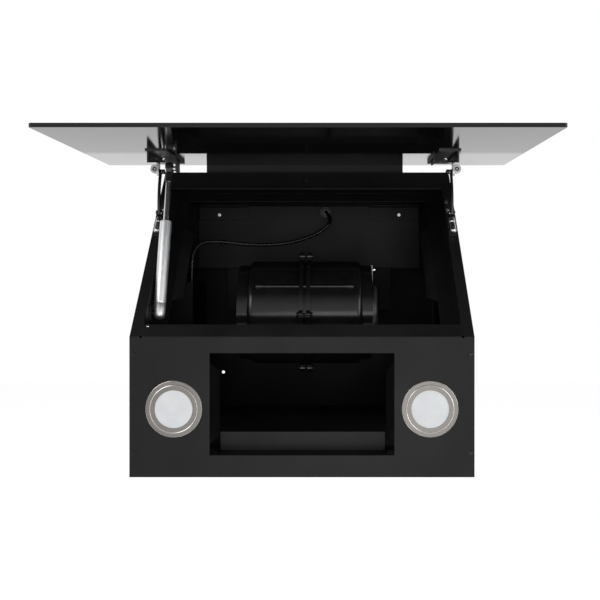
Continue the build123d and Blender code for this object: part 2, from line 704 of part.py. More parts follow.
def volute_half():
    """The right half of the blower's shell, with its inlet ring and half of the outlet neck."""
    centre = drum_centre()
    drum = rod_x(centre, DRUM_RADIUS, -DRUM_HALF, DRUM_HALF)
    drum = fillet(drum.edges().filter_by(GeomType.CIRCLE), DRUM_EDGE)
    core = rod_x(centre, DRUM_RADIUS - DRUM_WALL, DRUM_WALL - DRUM_HALF, DRUM_HALF - DRUM_WALL)
    core = fillet(core.edges().filter_by(GeomType.CIRCLE), DRUM_EDGE - DRUM_WALL)
    shell = drum + block(-NECK_HALF, NECK_HALF, DRUM_BACK, DUCT_FRONT, NECK_LOW, NECK_HIGH)
    wide = NECK_HALF + NECK_FLANGE
    shell += block(-wide, wide, DUCT_FRONT - NECK_FLANGE_THICK, DUCT_FRONT, NECK_LOW - NECK_FLANGE,
                   NECK_HIGH + NECK_FLANGE_TOP)
    shell += rod_x(centre, INLET_RING_RADIUS, 0, DRUM_END)
    shell += rod_x(centre, SEAM_RADIUS, SEAM_GROOVE, SEAM_HALF)
    for lug in lug_places():
        shell += rod_x(lug, LUG_RADIUS, SEAM_GROOVE, SEAM_HALF)
        shell -= rod_x(lug, SEAM_BOLT_RADIUS + FIT_GAP, -FAR, FAR)
    ridge = polar(centre, DRUM_RADIUS, RIDGE_ANGLE)
    shell += rod_x(ridge, RIDGE_RADIUS, -RIDGE_HALF, RIDGE_HALF)
    shell += rod_x(ridge, RIDGE_BOSS_RADIUS, RIDGE_HALF - RIDGE_BOSS_LENGTH, RIDGE_HALF)
    shell -= core
    shell -= neck_core()
    shell -= rod_x(centre, INLET_RADIUS, 0, DRUM_END)
    shell -= rod_x(centre, INLET_RING_RADIUS - DRUM_WALL, DRUM_HALF, 2 * DRUM_END)
    shell -= neck_screw_holes()
    return shell & block(0, FAR, -FAR, FAR, -FAR, FAR)


def volute_bolts():
    group = []
    for lug in lug_places():
        bolt = rod_x(lug, SEAM_BOLT_RADIUS, -SEAM_HALF, SEAM_HALF)
        for x in (-SEAM_HALF - SEAM_HEAD_LENGTH, SEAM_HALF):
            bolt += rod_x(lug, SEAM_HEAD_RADIUS, x, x + SEAM_HEAD_LENGTH)
        group.append(bolt)
    return Compound(children=group)


def impeller():
    """The double wheel: two end rings and a middle disc joined by slanted blades."""
    centre = drum_centre()
    annulus = rod_x(centre, IMPELLER_RADIUS, -IMPELLER_HALF, IMPELLER_HALF)
    annulus -= rod_x(centre, IMPELLER_RADIUS - BLADE_RING, -FAR, FAR)
    wheel = rod_x(centre, IMPELLER_RADIUS, -DISC_HALF, DISC_HALF)
    wheel += rod_x(centre, HUB_RADIUS, -HUB_HALF, HUB_HALF)
    wheel += annulus - rod_x(centre, FAR, END_RING - IMPELLER_HALF, IMPELLER_HALF - END_RING)
    blades = []
    for number in range(BLADE_COUNT):
        turn = Pos(0, centre[0], centre[1]) * Rot(360 * number / BLADE_COUNT, 0, 0)
        lean = Pos(0, 0, IMPELLER_RADIUS - BLADE_RING / 2) * Rot(BLADE_SKEW, 0, 0)
        blades += (turn * lean * Box(2 * IMPELLER_HALF, BLADE_THICK, 2 * BLADE_RING) & annulus).solids()
    wheel = wheel.fuse(*blades)
    return wheel - rod_x(centre, SHAFT_RADIUS + FIT_GAP, -FAR, FAR)


def motor_shaft():
    return rod_x(drum_centre(), SHAFT_RADIUS, -HUB_HALF, MOTOR_START + SHAFT_SEAT)


def motor():
    centre = drum_centre()
    body = rod_x(centre, MOTOR_RADIUS, MOTOR_START, MOTOR_END)
    body = fillet(body.edges().filter_by(GeomType.CIRCLE), MOTOR_EDGE)
    return body - rod_x(centre, SHAFT_RADIUS + FIT_GAP, -FAR, MOTOR_START + SHAFT_SEAT + SHEET)


def motor_spider():
    """The ring and arms that hold the motor in the right inlet."""
    centre = drum_centre()
    end = DRUM_END + SPIDER_THICK
    spider = rod_x(centre, MOTOR_RADIUS + SPIDER_RING, DRUM_END, end)
    for number in range(SPIDER_ARMS):
        turn = Pos(0, centre[0], centre[1]) * Rot(360 * number / SPIDER_ARMS, 0, 0)
        arm = Pos(DRUM_END + SPIDER_THICK / 2, 0, INLET_RING_RADIUS / 2)
        spider += turn * arm * Box(SPIDER_THICK, SPIDER_ARM, INLET_RING_RADIUS)
    spider = spider & rod_x(centre, INLET_RING_RADIUS, DRUM_END, end)
    return spider - rod_x(centre, MOTOR_RADIUS + FIT_GAP, 0, FAR)


# Electrical parts

def control_box():
    """The open box on the left side that holds the electronics."""
    inner = INSIDE - CONTROL_WIDTH
    box = block(-INSIDE, -inner, CONTROL_FRONT, CONTROL_BACK, CONTROL_LOW, CONTROL_HIGH)
    return box - block(-INSIDE + CONTROL_LID, 0, CONTROL_FRONT + CONTROL_LID, CONTROL_BACK - CONTROL_LID,
                       CONTROL_LOW + CONTROL_LID, CONTROL_HIGH - CONTROL_LID)


def control_cover():
    inner = INSIDE - CONTROL_WIDTH
    return block(-inner, -inner + CONTROL_LID, CONTROL_FRONT, CONTROL_BACK, CONTROL_LOW, CONTROL_HIGH)


def cable_gland():
    x, back, drop = CABLE_ROUTE[0]
    gland = rod_y(x, TOP_HEIGHT - drop, GLAND_RADIUS, back, LINER_BACK)
    return fillet(gland.edges().group_by(Axis.Y)[0], GLAND_RADIUS / 4)


def cable():
    """The lead that droops from the gland to the control box, as straight runs joined by arcs."""
    points = [Vector(x, *place(back, TOP_HEIGHT - drop)) for x, back, drop in CABLE_ROUTE]
    radii = []
    for before, corner, after in zip(points, points[1:], points[2:]):
        turn = math.radians((corner - before).get_angle(after - corner))
        shorter = min((corner - before).length, (after - corner).length)
        radii.append(BEND_SHARE * shorter / math.tan(turn / 2))
    path = FilletPolyline(*points, radius=radii)
    start = Plane(origin=points[0], z_dir=points[1] - points[0])
    return sweep(start * Circle(CABLE_RADIUS), path=path)


# Glass flap and its hinges

PIVOT_OPEN = place(ARM_PIVOT_BACK, GLASS_UNDER - ARM_PIVOT_DROP)
PIVOT_SHUT = closed_point(ARM_PIVOT_BACK, ARM_PIVOT_DROP)


def base_pivot():
    """The arm's lower pivot, as far from the open as from the shut place of its upper one."""
    centre = middle(PIVOT_OPEN, PIVOT_SHUT)
    chord = (PIVOT_SHUT[0] - PIVOT_OPEN[0], PIVOT_SHUT[1] - PIVOT_OPEN[1])
    length = math.hypot(*chord)
    reach = math.sqrt(ARM_LENGTH ** 2 - length ** 2 / 4)
    return centre[0] + reach * chord[1] / length, centre[1] - reach * chord[0] / length


BASE_PIVOT = base_pivot()
PIVOT_S = (BASE_PIVOT[0] - FRONT_Y) * COS + (BASE_PIVOT[1] - BASE_Z - FACE_HEIGHT) * SIN
ARM_IN = ARM_X - ARM_THICK / 2
ARM_OUT = ARM_X + ARM_THICK / 2
EAR_IN = ARM_OUT + ARM_SIDE_GAP


def base_screw_holes():
    radius = SCREW_SHANK_RADIUS + FIT_GAP
    return [slope_rod(x, s, radius, -2 * BASE_THICK, 2 * SHEET)
            for x in (-BASE_SCREW_X, BASE_SCREW_X) for s in BASE_SCREW_PLACES]


def hinge_screws():
    group = []
    for x in (-BASE_SCREW_X, BASE_SCREW_X):
        for s in BASE_SCREW_PLACES:
            head = slope_rod(x, s, SCREW_HEAD_RADIUS, -BASE_THICK - SCREW_HEAD_HEIGHT, -BASE_THICK)
            group.append(head + slope_rod(x, s, SCREW_SHANK_RADIUS, -BASE_THICK, SHEET + SCREW_SHANK_RADIUS))
    return Compound(children=group)


def hinge_base():
    """The right base plate on the rim, with two ears for the arm's lower pin."""
    base = on_slope(BASE_INNER, BASE_OUTER, BASE_LOW, BASE_HIGH, -BASE_THICK, 0)
    inner = ARM_IN - ARM_SIDE_GAP
    along = (BASE_EAR_RADIUS * COS, BASE_EAR_RADIUS * SIN)
    for x0, x1 in ((inner - BASE_EAR_THICK, inner), (EAR_IN, EAR_IN + BASE_EAR_THICK)):
        base += prism([
            slope_point(PIVOT_S - BASE_EAR_RADIUS, -BASE_THICK / 2),
            slope_point(PIVOT_S + BASE_EAR_RADIUS, -BASE_THICK / 2),
            (BASE_PIVOT[0] + along[0], BASE_PIVOT[1] + along[1]),
            (BASE_PIVOT[0] - along[0], BASE_PIVOT[1] - along[1]),
        ], x0, x1)
        base += rod_x(BASE_PIVOT, BASE_EAR_RADIUS, x0, x1)
    base -= rod_x(BASE_PIVOT, PIN_RADIUS + FIT_GAP, 0, FAR)
    return base - base_screw_holes()


def hinge_stop():
    """The block on the lower end of the right base plate."""
    x0 = (BASE_INNER + BASE_OUTER - STOP_WIDTH) / 2
    stop = on_slope(x0, x0 + STOP_WIDTH, STOP_LOW, STOP_LOW + STOP_LENGTH, -BASE_THICK - STOP_HEIGHT, -BASE_THICK)
    return chamfer(stop.faces().sort_by(Axis.Z)[-1].edges(), STOP_EDGE)


def hinge_lower_pins():
    x0 = ARM_IN - ARM_SIDE_GAP - BASE_EAR_THICK
    x1 = EAR_IN + BASE_EAR_THICK
    pin = rod_x(BASE_PIVOT, PIN_RADIUS, x0, x1)
    pin += rod_x(BASE_PIVOT, PIN_HEAD_RADIUS, x0 - PIN_HEAD_LENGTH, x0)
    pin += rod_x(BASE_PIVOT, PIN_HEAD_RADIUS, x1, x1 + PIN_HEAD_LENGTH)
    return Compound(children=[pin, mirrored(pin)])


def hinge_arm():
    """The right arm, a blade bowed forwards between its two pins."""
    centre = middle(BASE_PIVOT, PIVOT_OPEN)
    along = (PIVOT_OPEN[0] - BASE_PIVOT[0], PIVOT_OPEN[1] - BASE_PIVOT[1])
    length = math.hypot(*along)
    bowed = (centre[0] - ARM_BOW * along[1] / length, centre[1] + ARM_BOW * along[0] / length)
    line = ThreePointArc(BASE_PIVOT, bowed, PIVOT_OPEN)
    blade = Pos(ARM_IN, 0, 0) * extrude(Plane.YZ * SlotArc(line, ARM_WIDTH), amount=ARM_THICK)
    for point in (BASE_PIVOT, PIVOT_OPEN):
        blade -= rod_x(point, PIN_RADIUS + FIT_GAP, 0, FAR)
    return blade


def hinge_upper_pins():
    x0 = ARM_IN - ARM_SIDE_GAP
    x1 = EAR_IN + GLASS_EAR_THICK
    pin = rod_x(PIVOT_OPEN, PIN_RADIUS, x0, x1)
    pin += rod_x(PIVOT_OPEN, PIN_HEAD_RADIUS, x0 - PIN_HEAD_LENGTH, x0)
    pin += rod_x(PIVOT_OPEN, PIN_HEAD_RADIUS, x1, x1 + GLASS_PIN_HEAD)
    return Compound(children=[pin, mirrored(pin)])


def glass_panel():
    half = GLASS_WIDTH / 2
    pane = block(-half, half, GLASS_BACK - GLASS_LENGTH, GLASS_BACK, GLASS_UNDER, GLASS_UNDER + GLASS_THICK)
    pane = fillet(pane.edges().filter_by(Axis.Z), GLASS_CORNER)
    return tilted(chamfer(pane.faces().filter_by(Axis.Z).edges(), GLASS_EDGE))


def glass_bracket(web_drop):
    """The right bracket under the glass: a plate, a tapered fin, an ear for the arm and a web on its inner side."""
    low = GLASS_UNDER - BRACKET_THICK
    outer = EAR_IN + GLASS_EAR_THICK
    plan = [
        (BRACKET_OUTER, FRONT_Y + BRACKET_FRONT),
        (BRACKET_OUTER, FRONT_Y + GLASS_EAR_FRONT - (outer - BRACKET_OUTER)),
        (outer, FRONT_Y + GLASS_EAR_FRONT),
        (outer, FRONT_Y + BRACKET_BACK),
        (BRACKET_INNER, FRONT_Y + BRACKET_BACK),
        (BRACKET_INNER, FRONT_Y + BRACKET_FRONT),
    ]
    plate = extrude(make_face(Polyline(*plan, close=True)), amount=BRACKET_THICK)
    bracket = Pos(0, 0, BASE_Z + low) * plate
    bracket += block(EAR_IN, outer, ARM_PIVOT_BACK - GLASS_EAR_RADIUS, ARM_PIVOT_BACK + GLASS_EAR_RADIUS,
                     GLASS_UNDER - ARM_PIVOT_DROP, low)
    bracket += rod_x(PIVOT_OPEN, GLASS_EAR_RADIUS, EAR_IN, outer)
    bracket += block(WEB_INNER, WEB_INNER + WEB_THICK, WEB_FRONT, WEB_BACK, GLASS_UNDER - web_drop, low)
    fin = BRACKET_OUTER - FIN_INSET
    bracket += prism([place(BRACKET_FRONT, low), place(BRACKET_FRONT, GLASS_UNDER - FIN_DROP), place(FIN_BACK, low)],
                     fin - FIN_THICK, fin)
    return tilted(bracket - rod_x(PIVOT_OPEN, PIN_RADIUS + FIT_GAP, EAR_IN, FAR))


# Gas strut, along its own line from foot to head

STRUT_FOOT = place(STRUT_FOOT_BACK, STRUT_FOOT_HEIGHT)
STRUT_HEAD = open_point(STRUT_HEAD_BACK, STRUT_HEAD_DROP)
STRUT_LENGTH = math.dist(STRUT_FOOT, STRUT_HEAD)
STRUT_LINE = Plane(origin=(-STRUT_X, *STRUT_FOOT), x_dir=(1, 0, 0),
                   z_dir=(0, STRUT_HEAD[0] - STRUT_FOOT[0], STRUT_HEAD[1] - STRUT_FOOT[1]))
EYE_OUT = -STRUT_X - EYE_HALF
EYE_IN = -STRUT_X + EYE_HALF


def along_strut(radius, start, end):
    return STRUT_LINE * Pos(0, 0, (start + end) / 2) * Cylinder(radius, end - start)


def strut_foot_bracket():
    """The plate on the recess wall with the stud that the strut turns on."""
    wall = FOOT_PLATE_THICK - RECESS_HALF
    plate = Pos(wall - FOOT_PLATE_THICK / 2, *STRUT_FOOT) * Box(FOOT_PLATE_THICK, FOOT_PLATE, FOOT_PLATE)
    plate = fillet(plate.edges().filter_by(Axis.X), FOOT_PLATE_CORNER)
    end = EYE_IN + ARM_SIDE_GAP
    stud = rod_x(STRUT_FOOT, FOOT_STUD_RADIUS + STUD_STEP, wall, EYE_OUT - ARM_SIDE_GAP)
    stud += rod_x(STRUT_FOOT, FOOT_STUD_RADIUS, wall, end)
    stud += rod_x(STRUT_FOOT, FOOT_WASHER_RADIUS, end, end + WASHER_THICK)
    return plate + stud


def strut_foot_fitting():
    fitting = rod_x(STRUT_FOOT, FOOT_EYE_RADIUS, EYE_OUT, EYE_IN)
    fitting += along_strut(SOCKET_RADIUS, FOOT_NECK, TUBE_START)
    return fitting - rod_x(STRUT_FOOT, FOOT_STUD_RADIUS + FIT_GAP, -FAR, 0)


def strut_tube():
    """The cylinder, closed at its foot and drawn in round the rod."""
    end = TUBE_START + TUBE_LENGTH
    tube = along_strut(TUBE_RADIUS, TUBE_START, end)
    tube = fillet(tube.edges().filter_by(GeomType.CIRCLE), TUBE_WALL / 2)
    tube -= along_strut(TUBE_RADIUS - TUBE_WALL, TUBE_START + TUBE_WALL, end - TUBE_COLLAR)
    return tube - along_strut(ROD_RADIUS + FIT_GAP, TUBE_START + TUBE_WALL, end + TUBE_WALL)


def strut_rod():
    inside = TUBE_START + TUBE_LENGTH - ROD_INSIDE
    rod = along_strut(ROD_RADIUS, inside, STRUT_LENGTH - SOCKET_LENGTH)
    return rod + along_strut(TUBE_RADIUS - TUBE_WALL - FIT_GAP, inside, inside + PISTON_LENGTH)


def strut_rod_end():
    """The eye on the rod, with play round the stud so that the closing flap never forces it."""
    eye = rod_x(STRUT_HEAD, HEAD_EYE_RADIUS, EYE_OUT, EYE_IN)
    eye += along_strut(EYE_HALF, STRUT_LENGTH - SOCKET_LENGTH, STRUT_LENGTH)
    eye += along_strut(SOCKET_RADIUS, STRUT_LENGTH - SOCKET_LENGTH, STRUT_LENGTH - HEAD_NECK)
    return eye - rod_x(STRUT_HEAD, HEAD_STUD_RADIUS + HEAD_PLAY, -FAR, 0)


def strut_head_stud():
    web = -WEB_INNER - WEB_THICK
    end = EYE_OUT - ARM_SIDE_GAP
    stud = rod_x(STRUT_HEAD, HEAD_STUD_RADIUS, end - WASHER_THICK, web)
    stud += rod_x(STRUT_HEAD, WASHER_RADIUS, end - WASHER_THICK, end)
    return stud + rod_x(STRUT_HEAD, HEAD_STUD_RADIUS + STUD_STEP, EYE_IN + ARM_SIDE_GAP, web)


def top_catch():
    """The small round catch in the middle of the top band."""
    return slope_rod(0, SLOPE_LENGTH - CATCH_INSET, CATCH_RADIUS, -CATCH_HEIGHT, 0)


def both_sides(name, solid):
    return {f"{name}_left": mirrored(solid), f"{name}_right": solid}


def main():
    light = LIGHT_SPACING / 2
    parts = {
        **both_sides("side_panel", side_panel()),
        "back_panel": back_panel(),
        "top_plate": top_plate(),
        "floor_pan": floor_pan(),
        "front_panel": front_panel(),
        "front_panel_screws": front_panel_screws(),
        "slope_frame": slope_frame(),
        "inner_liner": inner_liner(),
        "hanger_plates": hanger_plates(),
        "wall_spacers": wall_spacers(),
        "light_bezel_left": light_bezel(-light),
        "light_bezel_right": light_bezel(light),
        "light_lens_left": light_lens(-light),
        "light_lens_right": light_lens(light),
        "light_can_left": light_can(-light),
        "light_can_right": light_can(light),
        "rear_duct": rear_duct(),
        "duct_box": duct_box(),
        "duct_lid": duct_lid(),
        "outlet_collar": outlet_collar(),
        "damper_pins": damper_pins(),
        "damper_flap_front": damper_flap(-1),
        "damper_flap_rear": damper_flap(1),
        **both_sides("volute", volute_half()),
        "volute_bolts": volute_bolts(),
        "blower_screws": blower_screws(),
        "impeller": impeller(),
        "motor_shaft": motor_shaft(),
        "motor": motor(),
        "motor_spider": motor_spider(),
        "control_box": control_box(),
        "control_cover": control_cover(),
        "cable_gland": cable_gland(),
        "cable": cable(),
        **both_sides("hinge_base", hinge_base()),
        **both_sides("hinge_stop", hinge_stop()),
        **both_sides("hinge_arm", hinge_arm()),
        "glass_bracket_left": mirrored(glass_bracket(WEB_DROP)),
        "glass_bracket_right": glass_bracket(PLAIN_WEB_DROP),
        "hinge_screws": hinge_screws(),
        "hinge_lower_pins": hinge_lower_pins(),
        "hinge_upper_pins": hinge_upper_pins(),
        "glass_panel": glass_panel(),
        "strut_foot_bracket": strut_foot_bracket(),
        "strut_foot_fitting": strut_foot_fitting(),
        "strut_tube": strut_tube(),
        "strut_rod": strut_rod(),
        "strut_rod_end": strut_rod_end(),
        "strut_head_stud": strut_head_stud(),
        "top_catch": top_catch(),
    }
    os.makedirs("parts", exist_ok=True)
    for name, solid in parts.items():
        export_step(solid, f"parts/{name}.step")


main()
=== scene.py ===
import json
import math

import bmesh
import bpy
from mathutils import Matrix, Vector


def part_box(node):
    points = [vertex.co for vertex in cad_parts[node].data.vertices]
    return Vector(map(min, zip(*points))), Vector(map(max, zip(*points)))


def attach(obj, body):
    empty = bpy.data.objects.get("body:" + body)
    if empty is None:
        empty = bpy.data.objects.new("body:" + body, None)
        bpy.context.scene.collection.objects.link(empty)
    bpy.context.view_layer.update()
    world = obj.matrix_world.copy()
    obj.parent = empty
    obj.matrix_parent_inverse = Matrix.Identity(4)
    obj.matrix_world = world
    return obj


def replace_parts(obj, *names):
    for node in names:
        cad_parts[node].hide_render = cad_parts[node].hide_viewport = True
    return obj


# Looks for a wall-hung range hood with a lift-up black glass flap. Lengths are in metres, in the CAD frame:
# the origin on the wall between the fixing holes, +X right, +Z up, the hood facing -Y.

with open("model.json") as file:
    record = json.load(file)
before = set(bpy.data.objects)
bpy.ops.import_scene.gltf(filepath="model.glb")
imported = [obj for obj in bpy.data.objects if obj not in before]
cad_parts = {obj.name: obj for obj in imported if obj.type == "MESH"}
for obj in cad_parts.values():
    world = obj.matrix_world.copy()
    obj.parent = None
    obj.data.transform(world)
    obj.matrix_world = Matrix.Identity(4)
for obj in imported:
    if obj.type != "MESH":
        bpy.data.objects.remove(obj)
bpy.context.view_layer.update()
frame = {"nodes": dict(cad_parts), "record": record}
NODES = frame["nodes"]

FRONT_Y = -0.402
BASE_Z = -0.2207

# The slanted face, in mm: its foot above the bottom edge, its run and its rise
FACE_HEIGHT = 176.5
SLOPE_RUN = 222.0
SLOPE_RISE = 235.6
SLOPE_LENGTH = math.hypot(SLOPE_RUN, SLOPE_RISE)
COS = SLOPE_RUN / SLOPE_LENGTH
SIN = SLOPE_RISE / SLOPE_LENGTH
SLOPE_OUT = Vector((0, -SIN, COS))
SLOPE_UP = Vector((0, COS, SIN))
FORWARD = Vector((0, -1, 0))
UP = Vector((0, 0, 1))
SIDES = (("left", -1), ("right", 1))

# Camera, from the photograph's perspective
CAMERA_PLACE = (0.0354, -1.4104, 0.0314)
CAMERA_LENS = 48.13
CAMERA_SENSOR = 36.0
CAMERA_SHIFT = (-0.0502, -0.0388)

# The pane's rear part is shaded as if it bent a little: where each slope starts, in mm behind the face, and how
# steep it is
GLASS_REAR = 205.0
GLASS_SAG = ((66.0, 0.02), (78.0, 0.032))

# Where the bare ear starts on the flap's brackets: below the pane's underside, and out from the middle
EAR_DROP = 0.0024
EAR_BLEND = 0.0004
EAR_INNER = (0.2105, 0.2125)

# Studio
FLOOR_Z = -0.62
FLOOR_SIZE = 7.0
FLOOR_LIFT = 0.79
FLOOR_GREY = 0.86
FLOOR_ROUGH = 0.9
WORLD_FADE = (0.2, 0.75)
WORLD_SOFT = (0.4, 0.12)
WORLD_SEEN = (1.0, 0.06)
LAMPS = (
    ("key", (-1.5, -2.1, 1.2), 1.5, 23.0),
    ("fill", (1.8, -1.9, 0.5), 1.6, 15.0),
    ("low", (0.1, -1.9, -0.35), 0.9, 5.0),
)
LAMP_AIM = Vector((0, -0.2, 0.05))


def at(x, back, height):
    """A point given as X, distance behind the front face and height above the bottom edge, in mm."""
    return Vector((x / 1000, FRONT_Y + back / 1000, BASE_Z + height / 1000))


# Materials

class Look:
    """One procedural material on a single shader, worked out in the object's own coordinates."""

    def __init__(self, name, **constants):
        self.material = bpy.data.materials.new(name)
        self.material.use_nodes = True
        self.tree = self.material.node_tree
        self.tree.nodes.clear()
        self.shader = self.add("ShaderNodeBsdfPrincipled")
        self.join(self.shader.outputs["BSDF"], self.add("ShaderNodeOutputMaterial").inputs["Surface"])
        self.place = self.add("ShaderNodeTexCoord").outputs["Object"]
        self.height = None
        for socket, value in constants.items():
            self.shader.inputs[socket.replace("_", " ")].default_value = value

    def add(self, kind, **settings):
        node = self.tree.nodes.new(kind)
        for key, value in settings.items():
            setattr(node, key, value)
        return node

    def join(self, source, target):
        self.tree.links.new(source, target)

    def moved(self, stretch):
        mapping = self.add("ShaderNodeMapping")
        mapping.inputs["Scale"].default_value = stretch
        self.join(self.place, mapping.inputs["Vector"])
        return mapping.outputs["Vector"]

    def noise(self, scale, detail=3.0, stretch=(1, 1, 1), distortion=0.0):
        node = self.add("ShaderNodeTexNoise")
        node.inputs["Scale"].default_value = scale
        node.inputs["Detail"].default_value = detail
        node.inputs["Distortion"].default_value = distortion
        self.join(self.moved(stretch), node.inputs["Vector"])
        return node.outputs["Fac"]

    def cells(self, scale):
        node = self.add("ShaderNodeTexVoronoi")
        node.inputs["Scale"].default_value = scale
        self.join(self.place, node.inputs["Vector"])
        split = self.add("ShaderNodeSeparateColor")
        self.join(node.outputs["Color"], split.inputs["Color"])
        return split.outputs["Red"]

    def bands(self, scale, distortion):
        """Soft stripes that follow each other along X."""
        node = self.add("ShaderNodeTexWave", bands_direction="X")
        node.inputs["Scale"].default_value = scale
        node.inputs["Distortion"].default_value = distortion
        self.join(self.place, node.inputs["Vector"])
        return node.outputs["Fac"]

    def rings(self, centre, scale, detail):
        """Noise that changes only with the distance from a line along Y through the centre."""
        flat = self.add("ShaderNodeVectorMath", operation="MULTIPLY")
        flat.inputs[1].default_value = (1, 0, 1)
        self.join(self.place, flat.inputs[0])
        away = self.add("ShaderNodeVectorMath", operation="DISTANCE")
        away.inputs[1].default_value = (centre[0], 0, centre[2])
        self.join(flat.outputs["Vector"], away.inputs[0])
        node = self.add("ShaderNodeTexNoise", noise_dimensions="1D")
        node.inputs["Scale"].default_value = scale
        node.inputs["Detail"].default_value = detail
        self.join(away.outputs["Value"], node.inputs["W"])
        return node.outputs["Fac"]

    def axis(self, name):
        split = self.add("ShaderNodeSeparateXYZ")
        self.join(self.place, split.inputs["Vector"])
        return split.outputs[name]

    def spread(self, value, low, high, start=0.3, end=0.7):
        node = self.add("ShaderNodeMapRange")
        for socket, number in zip(("From Min", "From Max", "To Min", "To Max"), (start, end, low, high)):
            node.inputs[socket].default_value = number
        self.join(value, node.inputs["Value"])
        return node.outputs["Result"]

    def mixed(self, share, first, second):
        """Two values or colours mixed by a third."""
        node = self.add("ShaderNodeMix", data_type="RGBA")
        self.join(share, node.inputs["Factor"])
        for socket, source in ((node.inputs[6], first), (node.inputs[7], second)):
            if isinstance(source, tuple):
                socket.default_value = (*source, 1)
            else:
                self.join(source, socket)
        return node.outputs[2]

    def tint(self, value, low, high, start=0.3, end=0.7):
        ramp = self.add("ShaderNodeValToRGB")
        ramp.color_ramp.elements[0].position = start
        ramp.color_ramp.elements[1].position = end
        ramp.color_ramp.elements[0].color = (*low, 1)
        ramp.color_ramp.elements[1].color = (*high, 1)
        self.join(value, ramp.inputs["Fac"])
        return ramp.outputs["Color"]

    def colour(self, source):
        self.join(source, self.shader.inputs["Base Color"])

    def rough(self, value, low, high, start=0.3, end=0.7):
        self.join(self.spread(value, low, high, start, end), self.shader.inputs["Roughness"])

    def soften(self, radius):
        """Light caught along the folded and cut edges."""
        node = self.add("ShaderNodeBevel", samples=6)
        node.inputs["Radius"].default_value = radius
        self.height = node.outputs["Normal"]

    def bump(self, value, distance, strength=1.0):
        node = self.add("ShaderNodeBump")
        node.inputs["Strength"].default_value = strength
        node.inputs["Distance"].default_value = distance
        self.join(value, node.inputs["Height"])
        if self.height is not None:
            self.join(self.height, node.inputs["Normal"])
        self.height = node.outputs["Normal"]
        self.join(self.height, self.shader.inputs["Normal"])


def painted(name, low, high, rough, specular=0.4, edge=0.0009):
    """Powder coat: fine orange peel, faint mottling and slightly uneven gloss."""
    grain = 900.0
    depth = 4e-5
    look = Look(name, Specular_IOR_Level=specular)
    look.soften(edge)
    look.colour(look.tint(look.noise(26.0, 5.0), low, high))
    look.rough(look.noise(11.0, 4.0), *rough)
    look.bump(look.noise(grain, 2.0), depth, 0.5)
    look.bump(look.noise(grain / 6, 2.0), depth * 2, 0.25)
    return look.material


def brushed(name, low, high, rough, stretch, grain=60.0, depth=1e-5):
    """Metal with fine lines along one direction."""
    look = Look(name, Metallic=1.0)
    lines = look.noise(grain, 4.0, stretch)
    look.colour(look.tint(lines, low, high))
    look.rough(lines, *rough)
    look.bump(lines, depth, 0.4)
    return look.material


def zinc(name, low, high, rough):
    """Galvanised sheet with its flower-like grains."""
    grain = 140.0
    look = Look(name, Metallic=1.0)
    look.colour(look.tint(look.cells(grain), low, high, 0.1, 0.9))
    look.rough(look.cells(grain * 1.7), *rough, 0.1, 0.9)
    look.bump(look.noise(grain * 6, 2.0), 8e-6, 0.4)
    return look.material


def moulded(name, low, high, rough, specular=0.5):
    """Injection-moulded plastic with a fine eroded texture and a cloudy gloss."""
    look = Look(name, Specular_IOR_Level=specular)
    look.colour(look.tint(look.noise(40.0, 4.0), low, high))
    look.rough(look.noise(22.0, 5.0), *rough)
    look.bump(look.noise(1400.0, 2.0), 3e-5, 0.35)
    look.bump(look.noise(45.0, 3.0), 1.2e-4, 0.3)
    return look.material


def flap_glass():
    """Black tempered glass: deep, nearly mirror-smooth, with faint wiping marks."""
    look = Look("flap_glass", IOR=1.37)
    look.colour(look.tint(look.noise(6.0, 3.0), (0.0025, 0.0025, 0.003), (0.005, 0.005, 0.0056)))
    look.rough(look.noise(9.0, 6.0, (1, 0.35, 1), 0.6), 0.06, 0.11)
    look.bump(look.noise(3.5, 2.0), 5e-5, 0.15)
    for start, slope in GLASS_SAG:
        first = FRONT_Y + start / 1000
        run = FRONT_Y + GLASS_REAR / 1000 - first
        look.bump(look.spread(look.axis("Y"), 1.0, 0.0, first, first + run), slope * run)
    return look.material


def spun(name, centre):
    """A turned lamp ring with its lines round the lamp's centre."""
    look = Look(name, Metallic=1.0)
    lines = look.rings(centre, 2600.0, 3.0)
    look.colour(look.tint(lines, (0.125, 0.115, 0.106), (0.185, 0.174, 0.163)))
    look.rough(lines, 0.3, 0.44)
    look.bump(lines, 1.5e-5, 0.5)
    return look.material


def frosted(name, centre):
    """The lamp's frosted diffuser with faint moulded rings."""
    look = Look(name, Specular_IOR_Level=0.4, Subsurface_Weight=0.15, Subsurface_Scale=0.002)
    look.colour(look.tint(look.noise(60.0, 3.0), (0.71, 0.73, 0.75), (0.79, 0.8, 0.82)))
    look.rough(look.noise(300.0, 3.0), 0.42, 0.55)
    look.bump(look.noise(2200.0, 2.0), 4e-5, 0.5)
    look.bump(look.rings(centre, 420.0, 1.0), 5e-5, 0.35)
    return look.material


def motor_steel():
    """Dark lamination stack with its fine plates showing along the axle."""
    look = Look("motor_steel", Metallic=0.7)
    plates = look.bands(160.0, 0.4)
    share = look.spread(look.noise(45.0, 4.0), 0.0, 1.0)
    look.colour(look.mixed(share, (0.05, 0.05, 0.052), (0.16, 0.15, 0.145)))
    look.rough(look.noise(80.0, 4.0), 0.32, 0.5)
    look.bump(plates, 1.2e-4, 0.5)
    return look.material


